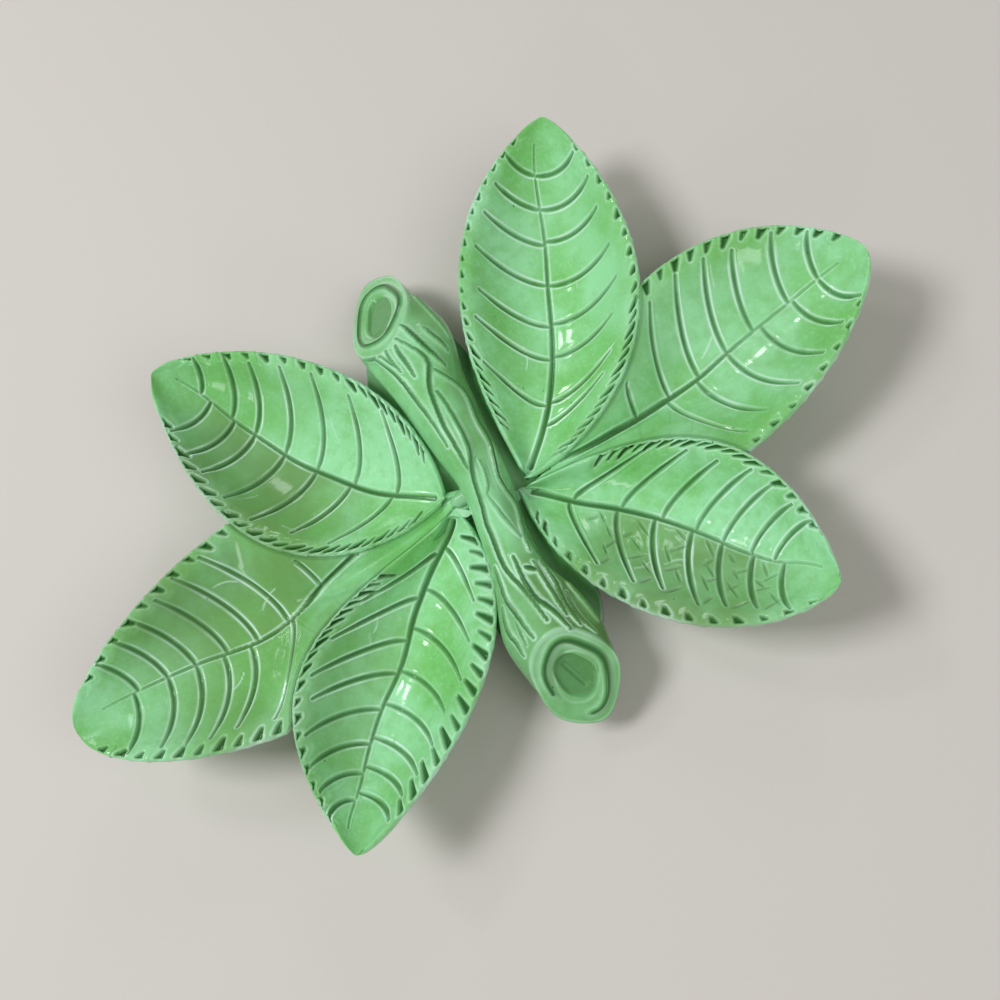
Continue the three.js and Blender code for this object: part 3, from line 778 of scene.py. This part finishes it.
def branch_blank():
    """The log with the sunk hearts of its cut faces, and its strokes."""
    above = np.linspace(-LOG_SHOWN, 1 + LOG_SHOWN, LOG_SIDES_ABOVE, endpoint=False)
    below = np.linspace(1 + LOG_SHOWN, 2 - LOG_SHOWN, LOG_SIDES - LOG_SIDES_ABOVE, endpoint=False)
    turns = np.pi * np.concatenate([above, below])
    along = np.sin(np.linspace(-1, 1, LOG_ROWS) * np.pi / 2 * LOG_CROWDING)
    along = along / math.sin(np.pi / 2 * LOG_CROWDING)
    body = log_point(along[:, None], turns)
    shrinks = np.linspace(1, 0.02, FACE_RINGS + 1)[1:, None]
    heart = step(*HEART_SIDE, shrinks * heart_oval(turns))
    faces = {}
    for end in (1.0, -1.0):
        sunk = HEART_DEPTH * heart[..., None] * face_outward(end)
        faces[end] = log_point(end, turns, shrinks) - sunk
    rings = np.concatenate([faces[-1.0][::-1], body, faces[1.0]])
    # painted shade on the lower sides of the log along its middle, where it meets the leaves
    valley = VALLEY_PAINTED_SHADE * step(-0.2, -0.5, np.sin(turns)) * step(0.9, 0.75, np.abs(along))[:, None]
    pool_and_shade = np.concatenate([HEART_DAMP * heart[::-1], valley, HEART_DAMP * heart])
    face_edge = FACE_PALE * step(1 - 2.5 * FACE_RIM, 1 - FACE_RIM, shrinks) * np.ones(LOG_SIDES)
    body_edge = FACE_PALE * step(0.975, 0.995, np.abs(along))[:, None] * np.ones(LOG_SIDES)
    edge = np.concatenate([face_edge[::-1], body_edge, face_edge])
    flank = np.cos(turns)
    low_end = step(-0.25, -0.7, along)[:, None]
    low_olive = low_end * mix(LEFT_OLIVE, 1, step(-0.2, 0.6, flank))
    body_olive = np.maximum(low_olive, RIGHT_OLIVE * step(0.2, 0.8, flank))
    lower_face, upper_face = (np.full_like(face_edge, share) for share in FACE_OLIVES)
    olive = np.concatenate([lower_face, body_olive, upper_face])
    blank = Blank(rings, pool_and_shade=pool_and_shade, edge=edge, olive=olive)
    press_bark(blank)
    press_faces(blank)
    return blank


def press_bark(blank):
    """Bark grooves, each on the place of the log that lies straight below its plan points."""
    turns = np.linspace(0.02, np.pi - 0.02, 160)
    places = log_point(np.linspace(-1, 1, 500)[:, None], turns).reshape(-1, 3)
    lookup = KDTree(len(places))
    for index, place in enumerate(places):
        lookup.insert((place[0], place[1], 0), index)
    lookup.balance()
    for half_width, depth, plan in BARK_LINES:
        path = smooth_path(plan, 12 * len(plan))
        line = np.array([places[lookup.find((x, y, 0))[1]] for x, y in path])
        taper = np.sin(np.pi * np.linspace(0.14, 0.86, len(line))) ** 0.5
        blank.press(VEIN, line, BARK_WIDENING * half_width * taper, BARK_DEEPENING * depth * taper)


def press_faces(blank):
    """A groove and a ridge round each cut face, and a bar across the heart of the lower one."""
    around = np.linspace(0, 2 * np.pi, 200)
    for end, ring, first, last in FACE_GROOVES:
        turn = 2 * np.pi * np.linspace(first, last, 200) - 0.6 * np.pi
        wobble = 1 + 0.05 * np.sin(2 * turn + end) + 0.025 * np.sin(5 * turn)
        blank.press(PIT, log_point(end, turn, ring * wobble), 1.15 + 0.25 * np.sin(turn + 1), 1.0)
        blank.press(RIDGE, log_point(end, around, FACE_RIDGE * heart_oval(around)), 0.7, 0.3)
    sunk = HEART_DEPTH * face_outward(-1.0)
    bar = np.linspace(-0.3, 0.3, 30)
    blank.press(RIDGE, log_point(-1.0, 1.9 + 0 * bar, bar) - sunk, 1.3, 0.8)


# Web of clay in the valleys between the branch and the leaves

WEB_MIDDLE = (3.8, -1.0)
WEB_HALF_WIDTH = 18.0
WEB_HALF_LENGTH = 60.0
WEB_SQUARENESS = 4
WEB_BOTTOM = 3.6
WEB_TOP = 13.0
WEB_FILLET = 4.0
WEB_FILLET_SPREAD = 2.0
WEB_HIDDEN = 2.2
# Painted shade on the web: how fast it fades from the leaf rims in mm, and its least and most strength
WEB_SHADE = 1.8
WEB_PAINTED_SHADE = (0.3, 0.75)
WEB_OLIVE = 0.6
WEB_ROWS = 240
WEB_COLUMNS = 120


def web_blank():
    """A slab that climbs a little to the rims beside it, and runs on inside the clay of the leaves."""
    run = 0.999 * np.sin(np.linspace(-1, 1, WEB_ROWS) * np.pi / 2)
    half_width = WEB_HALF_WIDTH * (1 - np.abs(run) ** WEB_SQUARENESS) ** (1 / WEB_SQUARENESS)
    x = WEB_MIDDLE[0] + half_width[:, None] * np.linspace(-1, 1, WEB_COLUMNS)
    y = WEB_MIDDLE[1] + WEB_HALF_LENGTH * run[:, None] + 0 * x
    plan = np.stack([x, y], -1)
    top = np.full(x.shape, WEB_TOP)
    for leaf in LEAVES:
        share, _, outside = leaf.locate(plan)
        room = np.clip(rim_height(share) - WEB_HIDDEN - WEB_TOP, 0, WEB_FILLET)
        top = np.maximum(top, WEB_TOP + room * np.exp(-np.maximum(outside, 0) / WEB_FILLET_SPREAD))
    for leaf in LEAVES:
        share, reach, outside = leaf.locate(plan)
        roof = leaf.top(np.clip(share, FIRST_ROW, LAST_ROW), reach) - WEB_HIDDEN
        top = np.where((outside < 0) & leaf.bare(share, reach, 0), np.minimum(top, roof), top)
    upper = np.concatenate([plan, top[..., None]], -1)
    lower = np.concatenate([plan, np.full((*x.shape, 1), WEB_BOTTOM)], -1)[:, ::-1]
    rings = np.concatenate([upper, lower], 1)
    gap = np.min([leaf.locate(rings[..., :2])[2] for leaf in LEAVES], axis=0)
    # painted shade over the web, heaviest close to the leaf rims
    pool_and_shade = mix(*WEB_PAINTED_SHADE, np.exp(-np.maximum(gap, 0) / WEB_SHADE))
    return Blank(rings, pool_and_shade=pool_and_shade, olive=np.full_like(pool_and_shade, WEB_OLIVE))


# Stalks

STALK_ROOT = 5.5
STALK_LENGTH = 2.5
STALK_HEIGHT = 11.9
STALK_HALF_WIDTHS = (3.2, 2.2)
STALK_HALF_HEIGHTS = (2.6, 1.8)
STALK_ROUND = 0.6
STALK_END = 0.02
# Painted shade on a stalk, on top and underneath
STALK_PAINTED_SHADE = (0.2, 0.7)
STALK_ROWS = 60
STALK_SIDES = 60


def stalk_blank(fork, bearing, size):
    """A short low lump of clay between the branch and the place where the midribs meet."""
    way = math.radians(bearing)
    heading = np.array((math.cos(way), math.sin(way), 0))
    to_left = np.array((-heading[1], heading[0], 0))
    up = np.array((0, 0, 1))
    run = np.linspace(0, 1, STALK_ROWS)
    turns = np.linspace(0, 2 * np.pi, STALK_SIDES, endpoint=False)
    past = np.clip((run - STALK_ROUND) / (1 - STALK_ROUND), 0, 1)
    close = mix(STALK_END, 1, np.sqrt(1 - past**2))
    width = size * mix(*STALK_HALF_WIDTHS, run) * close
    height = size * mix(*STALK_HALF_HEIGHTS, run) * close
    centre = np.array((*fork, STALK_HEIGHT)) + mix(-STALK_ROOT, STALK_LENGTH, run)[:, None] * heading
    rings = centre[:, None] + (width[:, None] * np.cos(turns))[..., None] * to_left
    rings = rings + (height[:, None] * np.sin(turns))[..., None] * up
    # painted shade, light on top and heavier underneath
    pool_and_shade = mix(*STALK_PAINTED_SHADE, step(0.3, -0.2, np.sin(turns))) * np.ones((STALK_ROWS, 1))
    return Blank(rings, pool_and_shade=pool_and_shade)


# Foot rims

FOOT_OUT = 0.27
FOOT_MIDDLE_Y = -3.0
FOOT_HALF_X = 26.0
FOOT_HALF_Y = 39.0
FOOT_WALL = 5.5
FOOT_TOP = 9.0
FOOT_CORNER = 0.8
FOOT_SIDES = 180


def foot_rim(name, fork, side, material):
    """An oval ring with rounded edges that runs up into the undersides of the leaves."""
    around = np.linspace(0, 2 * np.pi, FOOT_SIDES, endpoint=False)
    middle = np.array((fork[0] + side * FOOT_OUT * LONGEST_LEAF, FOOT_MIDDLE_Y))

    def ring(inset, height):
        radii = np.array((FOOT_HALF_X - inset, FOOT_HALF_Y - inset))
        plan = middle + radii * np.column_stack([np.cos(around), np.sin(around)])
        top = np.full(FOOT_SIDES, FOOT_TOP)
        for leaf in LEAVES:
            top = np.minimum(top, under_height(leaf, plan) + WALL / 2)
        return np.column_stack([plan, np.minimum(height, top)])

    outer = [(FOOT_CORNER, 0), (0.3 * FOOT_CORNER, 0.25 * FOOT_CORNER), (0, FOOT_CORNER), (0, FAR_UP)]
    profile = outer + [(FOOT_WALL - inset, height) for inset, height in outer[::-1]]
    rings = np.stack([ring(inset, height) for inset, height in profile], 1)
    faces = quads(FOOT_SIDES, len(profile)).reshape(-1, 4).tolist()
    mesh = bpy.data.meshes.new(name)
    mesh.from_pydata((rings.reshape(-1, 3) * MM).tolist(), [], faces)
    mesh.materials.append(material)
    return add_object(name, mesh)


# Node trees


class Value:
    """A socket of a node tree that can be used in sums."""

    def __init__(self, tree, socket):
        self.tree, self.socket = tree, socket

    def __add__(self, other):
        return self.tree.math("ADD", self, other)

    def __sub__(self, other):
        return self.tree.math("SUBTRACT", self, other)

    def __rsub__(self, other):
        return self.tree.math("SUBTRACT", other, self)

    def __mul__(self, other):
        return self.tree.math("MULTIPLY", self, other)

    def __truediv__(self, other):
        return self.tree.math("DIVIDE", self, other)

    __radd__ = __add__
    __rmul__ = __mul__


class Tree:
    """A node tree under construction, for geometry or for a material."""

    def __init__(self, group):
        self.group = group

    def node(self, kind, inputs=(), **settings):
        node = self.group.nodes.new(kind)
        for key, value in settings.items():
            setattr(node, key, value)
        self.fill(node, dict(inputs))
        return node

    def fill(self, node, inputs):
        """Sets or links inputs of a node."""
        for key, value in inputs.items():
            self.feed(node.inputs[key], value)

    def feed(self, socket, value):
        """Links a socket to another one, or sets it."""
        if isinstance(value, Value):
            value = value.socket
        if isinstance(value, bpy.types.NodeSocket):
            self.group.links.new(value, socket)
        else:
            socket.default_value = value

    def math(self, operation, *values):
        return Value(self, self.node("ShaderNodeMath", enumerate(values), operation=operation).outputs[0])

    def step(self, low, high, value):
        ends = {"Value": value, "From Min": low, "From Max": high}
        node = self.node("ShaderNodeMapRange", ends, interpolation_type="SMOOTHSTEP")
        return Value(self, node.outputs["Result"])

    def noise(self, place, scale, detail=2.0, seed=0.0):
        inputs = {"Vector": place, "W": seed, "Scale": scale, "Detail": detail}
        kind = "ShaderNodeTexNoise"
        return Value(self, self.node(kind, inputs, noise_dimensions="4D").outputs[0])


# Section of a stroke, in half widths from its middle
GROOVE = (0.15, 1.1)
SHOULDER_START = 0.7
LIP_RISE = (0.85, 1.1)
LIP_TOP = 1.15
RIDGE_SIDE = (0.2, 1.0)
RIDGE_PALE_SIDE = (0.4, 1.0)
RIDGE_PALE = 0.6


def pattern_tree():
    """Presses strokes into clay, raises lips, and notes where glaze pools, where shade is painted and where
    glaze breaks.
    """
    tree = Tree(bpy.data.node_groups.new("press_pattern", "GeometryNodeTree"))
    face = tree.group.interface
    face.new_socket("Clay", in_out="INPUT", socket_type="NodeSocketGeometry")
    sizes = {
        "Lip height": 0.2 * MM, "Lip spread": 1.85, "Shoulder": 4.0, "Shoulder share": 0.3,
        "Pool depth": 1.2 * MM, "Ripple": 0.3 * MM, "Ripple scale": 75.0, "Seed": 1.0,
    }
    for name, value in sizes.items():
        face.new_socket(name, in_out="INPUT", socket_type="NodeSocketFloat").default_value = value
    face.new_socket("Glaze", in_out="INPUT", socket_type="NodeSocketMaterial")
    face.new_socket("Clay", in_out="OUTPUT", socket_type="NodeSocketGeometry")
    entry = tree.node("NodeGroupInput").outputs
    size = {name: Value(tree, entry[name]) for name in sizes}

    def read(name):
        node = tree.node("GeometryNodeInputNamedAttribute", {"Name": name}, data_type="FLOAT")
        return Value(tree, node.outputs["Attribute"])

    def keep(geometry, kind):
        chosen = tree.math("COMPARE", read("stroke"), float(kind), 0.5)
        inputs = {"Geometry": geometry, "Selection": chosen}
        return tree.node("GeometryNodeSeparateGeometry", inputs).outputs[0]

    def stroke_field(kind):
        """Depth of the nearest stroke of a kind, and distance from it in half widths."""
        strokes = keep(entry["Clay"], kind)
        near = tree.node("GeometryNodeProximity", {"Geometry": strokes}, target_element="EDGES")
        index = tree.node("GeometryNodeSampleNearest", {"Geometry": strokes}).outputs[0]
        found = []
        for name in ("depth", "half_width"):
            inputs = {"Geometry": strokes, "Value": read(name), "Index": index}
            found.append(Value(tree, tree.node("GeometryNodeSampleIndex", inputs).outputs[0]))
        return found[0], Value(tree, near.outputs["Distance"]) / found[1]

    def most(values):
        return functools.reduce(lambda a, b: tree.math("MAXIMUM", a, b), values)

    clay = keep(entry["Clay"], 0)
    cuts, dips, lips = [], [], []
    for kind in (MIDRIB, VEIN, PIT, SCRATCH):
        depth, away = stroke_field(kind)
        cuts.append(depth * (1.0 - tree.step(*GROOVE, away)))
        spread = 1.0 - tree.step(SHOULDER_START, size["Shoulder"], away)
        dips.append(depth * size["Shoulder share"] * spread)
        rise = tree.step(*LIP_RISE, away) * (1.0 - tree.step(LIP_TOP, size["Lip spread"], away))
        lips.append(rise * tree.step(0.0, 0.4, depth / size["Pool depth"]) * LIP_SHARE[kind])
    groove, shoulder, lip = most(cuts), most(dips), most(lips)
    height, away = stroke_field(RIDGE)
    ridge = height * (1.0 - tree.step(*RIDGE_SIDE, away))
    fine = RIDGE_PALE * (1.0 - tree.step(*RIDGE_PALE_SIDE, away))

    # pooled glaze in the grooves, together with the painted shade and pooled glaze noted on the blank
    pool = most([tree.step(0.0, 1.0, groove / size["Pool depth"]), read("pool_and_shade")])
    bared = 1.0 - tree.step(0.1, 0.6, pool)
    lip = lip * bared
    pale = most([lip, most([read("edge"), fine]) * bared])
    place = tree.node("GeometryNodeInputPosition").outputs[0]
    coarse = tree.noise(place, size["Ripple scale"], 2.0, size["Seed"])
    raised = lip * size["Lip height"] + ridge - groove - shoulder + size["Ripple"] * (coarse - 0.5)
    normal = tree.node("GeometryNodeInputNormal").outputs[0]
    offset = tree.node("ShaderNodeVectorMath", {0: normal, "Scale": raised}, operation="SCALE").outputs[0]

    def store(geometry, name, value):
        inputs = {"Geometry": geometry, "Name": name, "Value": value}
        kind = "GeometryNodeStoreNamedAttribute"
        return tree.node(kind, inputs, data_type="FLOAT", domain="POINT").outputs[0]

    stored = store(store(clay, "pool", pool), "pale", pale)
    moved = tree.node("GeometryNodeSetPosition", {"Geometry": stored, "Offset": offset}).outputs[0]
    smooth = tree.node("GeometryNodeSetShadeSmooth", {"Geometry": moved}).outputs[0]
    real = tree.node("GeometryNodeRealizeInstances", {"Geometry": smooth}).outputs[0]
    glazed = tree.node("GeometryNodeSetMaterial", {"Geometry": real, "Material": entry["Glaze"]}).outputs[0]
    tree.feed(tree.node("NodeGroupOutput").inputs[0], glazed)
    return tree.group


def pressed_piece(name, blank, pattern, material, **settings):
    """Runs the pattern tree on a blank, and keeps what it makes as a plain mesh."""
    raw = add_object(name + "_blank", blank.mesh(name + "_blank"))
    modifier = raw.modifiers.new("press", "NODES")
    modifier.node_group = pattern
    values = {key.replace("_", " ").capitalize(): value for key, value in settings.items()}
    values["Glaze"] = material
    for item in pattern.interface.items_tree:
        if item.in_out == "INPUT" and item.name in values:
            modifier[item.identifier] = values[item.name]
    bpy.context.view_layer.update()
    evaluated = raw.evaluated_get(bpy.context.evaluated_depsgraph_get())
    mesh = bpy.data.meshes.new_from_object(evaluated)
    mesh.name = name
    for label in WORK_NOTES:
        mesh.attributes.remove(mesh.attributes[label])
    bpy.data.objects.remove(raw)
    return add_object(name, mesh)


# Materials


def srgb(red, green, blue):
    """A colour written in 0 to 255 as it looks on a screen, in linear light."""
    parts = [value / 255 for value in (red, green, blue)]
    linear = [p / 12.92 if p <= 0.04045 else ((p + 0.055) / 1.055) ** 2.4 for p in parts]
    return (*linear, 1.0)


def new_material(name):
    """A material with its node tree, its shader and the place on the piece."""
    material = bpy.data.materials.new(name)
    material.use_nodes = True
    tree = Tree(material.node_tree)
    shader = material.node_tree.nodes["Principled BSDF"]
    place = tree.node("ShaderNodeTexCoord").outputs["Object"]
    return material, tree, shader, place


def blend_colours(tree, share, first, second):
    node = tree.node("ShaderNodeMix", data_type="RGBA")
    tree.fill(node, {"Factor": share, 6: first, 7: second})
    return node.outputs[2]


def glaze_material(name, light, body, deep, pool, pale, olive):
    """Glossy green glaze: mottled body, dark where it pools and where shade is painted, pale where it
    breaks over edges.
    """
    material, tree, shader, place = new_material(name)

    def read(label):
        node = tree.node("ShaderNodeAttribute", attribute_name=label)
        return Value(tree, node.outputs["Fac"])

    broad = tree.step(0.35, 0.65, tree.noise(place, 38.0, detail=3.0))
    patch = tree.step(0.48, 0.68, tree.noise(place, 24.0, detail=2.0, seed=2.0))
    fine = tree.step(0.4, 0.7, tree.noise(place, 260.0, detail=4.0))
    grain = tree.step(0.45, 0.75, tree.noise(place, 900.0, detail=3.0, seed=3.0))
    cloud = tree.step(0.3, 0.6, tree.noise(place, 55.0, detail=3.0, seed=6.0))
    broken = tree.step(0.4, 0.62, tree.noise(place, 48.0, detail=3.0, seed=4.0))
    specks = tree.node("ShaderNodeTexVoronoi", {"Scale": 95.0, "Vector": place}).outputs["Distance"]
    speck = 1.0 - tree.step(0.02, 0.05, Value(tree, specks))
    layers = [
        (broad, light),
        (grain * 0.14, pale),
        (tree.math("MAXIMUM", fine * 0.3, patch * 0.2), deep),
        (read("olive") * (0.6 + 0.4 * cloud), olive),
        (read("pale") * (0.22 + 0.73 * broken), pale),
        # the pooled colour also paints shade under lapping rims, in the valleys, under the log and under
        # the stalks
        (read("pool") * 0.96, pool),
        (speck * 0.6, pool),
    ]
    colour = body
    for share, paint in layers:
        colour = blend_colours(tree, share, colour, paint)
    peel = tree.noise(place, 170.0, detail=3.0)
    bump = tree.node("ShaderNodeBump", {"Strength": 0.12, "Distance": 0.0006, "Height": peel})
    roughness = 0.09 + 0.12 * tree.noise(place, 120.0, detail=3.0)
    coat = {"Coat Weight": 0.35, "Coat Roughness": 0.05, "Normal": bump.outputs[0]}
    tree.fill(shader, {"Base Color": colour, "Roughness": roughness, "IOR": 1.5, **coat})
    return material


def clay_material(name, light, dark):
    material, tree, shader, place = new_material(name)
    grain = tree.noise(place, 420.0, detail=5.0)
    colour = blend_colours(tree, tree.step(0.35, 0.65, grain), light, dark)
    bump = tree.node("ShaderNodeBump", {"Strength": 0.3, "Distance": 0.0003, "Height": grain})
    roughness = 0.75 + 0.2 * grain
    tree.fill(shader, {"Base Color": colour, "Roughness": roughness, "Normal": bump.outputs[0]})
    return material


# Build

pattern = pattern_tree()
leaf_glaze = glaze_material(
    "leaf_glaze", light=srgb(158, 228, 172), body=srgb(120, 199, 110), deep=srgb(112, 174, 82),
    pool=srgb(30, 88, 30), pale=srgb(220, 251, 236), olive=srgb(108, 150, 84),
)
branch_glaze = glaze_material(
    "branch_glaze", light=srgb(142, 213, 152), body=srgb(118, 190, 116), deep=srgb(106, 164, 84),
    pool=srgb(34, 92, 40), pale=srgb(190, 236, 204), olive=srgb(92, 138, 68),
)
foot_clay = clay_material("foot_clay", srgb(222, 210, 186), srgb(204, 188, 160))


def place_piece(piece, node):
    """Hangs a piece on the root body and hides the solid of the model that it stands for."""
    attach(piece, "root")
    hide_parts(node)


for leaf in LEAVES:
    leaf.settle()

for number, leaf in enumerate(LEAVES):
    piece = pressed_piece(leaf.name + "_glazed", leaf_blank(leaf), pattern, leaf_glaze, seed=float(number))
    place_piece(piece, leaf.name)

piece = pressed_piece("branch_glazed", branch_blank(), pattern, branch_glaze, seed=7.0, ripple=0.5 * MM,
                      lip_height=0.1 * MM, lip_spread=2.8)
place_piece(piece, "branch")
piece = pressed_piece("branch_web_glazed", web_blank(), pattern, branch_glaze, seed=8.0)
place_piece(piece, "branch")

stalks = [("leaf_stalk_left", LEFT_FORK, 184.3, 1), ("leaf_stalk_right", RIGHT_FORK, 3.2, 0.8)]
for node, fork, bearing, scale in stalks:
    blank = stalk_blank(fork, bearing, scale)
    piece = pressed_piece(node + "_glazed", blank, pattern, branch_glaze, seed=9.0)
    place_piece(piece, node)

for node, fork, side in (("foot_rim_left", LEFT_FORK, -1), ("foot_rim_right", RIGHT_FORK, 1)):
    place_piece(foot_rim(node + "_dry", fork, side, foot_clay), node)

# Stage

LIGHT_DISTANCE = 1.35
LIGHT_COLOUR = (0.95, 0.985, 1.0)
FLOOR_REACH = 3.0
CAMERA_PLACE = (22.6, -114.4, 338.0)
CAMERA_LOOK = (-0.0453, 0.3059, -0.951)
CAMERA_UP = (0.4992, 0.8315, 0.2436)
CAMERA_SENSOR = 36
CAMERA_LENS = 39.6

# Lights: bearing, elevation, width and height in metres, watts, and whether the glaze mirrors the panel
LIGHTS = {
    "sky_panel": (153, 57, 0.42, 0.42, 11.6, False),
    "low_panel": (-55, 50, 0.9, 0.9, 5.6, False),
    "window": (118, 46, 0.22, 0.15, 1.5, True),
    "side_window": (53, 34, 0.2, 0.3, 0.7, True),
    "front_window": (-122, 31, 0.3, 0.2, 0.7, True),
}


def build_floor():
    mesh = bpy.data.meshes.new("floor")
    corners = [(x * FLOOR_REACH, y * FLOOR_REACH, 0) for x, y in ((-1, -1), (1, -1), (1, 1), (-1, 1))]
    mesh.from_pydata(corners, [], [(0, 1, 2, 3)])
    floor = add_object("floor", mesh)
    material, tree, shader, _ = new_material("floor_paint")
    tree.fill(shader, {"Base Color": srgb(206, 200, 195), "Roughness": 0.7})
    mesh.materials.append(material)


def area_light(name, bearing, elevation, width, height, power, mirrored):
    """A soft panel aimed at the dish."""
    light = bpy.data.lights.new(name, "AREA")
    light.shape = "RECTANGLE"
    light.size, light.size_y = width, height
    light.energy = power
    light.color = LIGHT_COLOUR
    lamp = add_object(name, light)
    turn, lift = math.radians(bearing), math.radians(elevation)
    toward = Vector((math.cos(lift) * math.cos(turn), math.cos(lift) * math.sin(turn), math.sin(lift)))
    lamp.location = LIGHT_DISTANCE * toward
    lamp.rotation_euler = (-toward).to_track_quat("-Z", "Y").to_euler()
    lamp.visible_glossy = mirrored


def build_camera():
    place = Vector(CAMERA_PLACE) * MM
    forward = Vector(CAMERA_LOOK).normalized()
    right = forward.cross(Vector(CAMERA_UP)).normalized()
    up = right.cross(forward)
    data = bpy.data.cameras.new("camera")
    data.sensor_width = CAMERA_SENSOR
    data.lens = CAMERA_LENS
    data.clip_start = 0.01
    camera = add_object("camera", data)
    turn = Matrix((right, up, -forward)).transposed()
    camera.matrix_world = Matrix.Translation(place) @ turn.to_4x4()
    bpy.context.scene.camera = camera


def build_world():
    world = bpy.data.worlds.new("soft_room")
    world.use_nodes = True
    background = world.node_tree.nodes["Background"]
    Tree(world.node_tree).fill(background, {"Color": (1, 0.95, 0.86, 1), "Strength": 0.23})
    bpy.context.scene.world = world


build_floor()
for name, values in LIGHTS.items():
    area_light(name, *values)
build_world()
build_camera()
bpy.context.scene.view_settings.view_transform = "Standard"
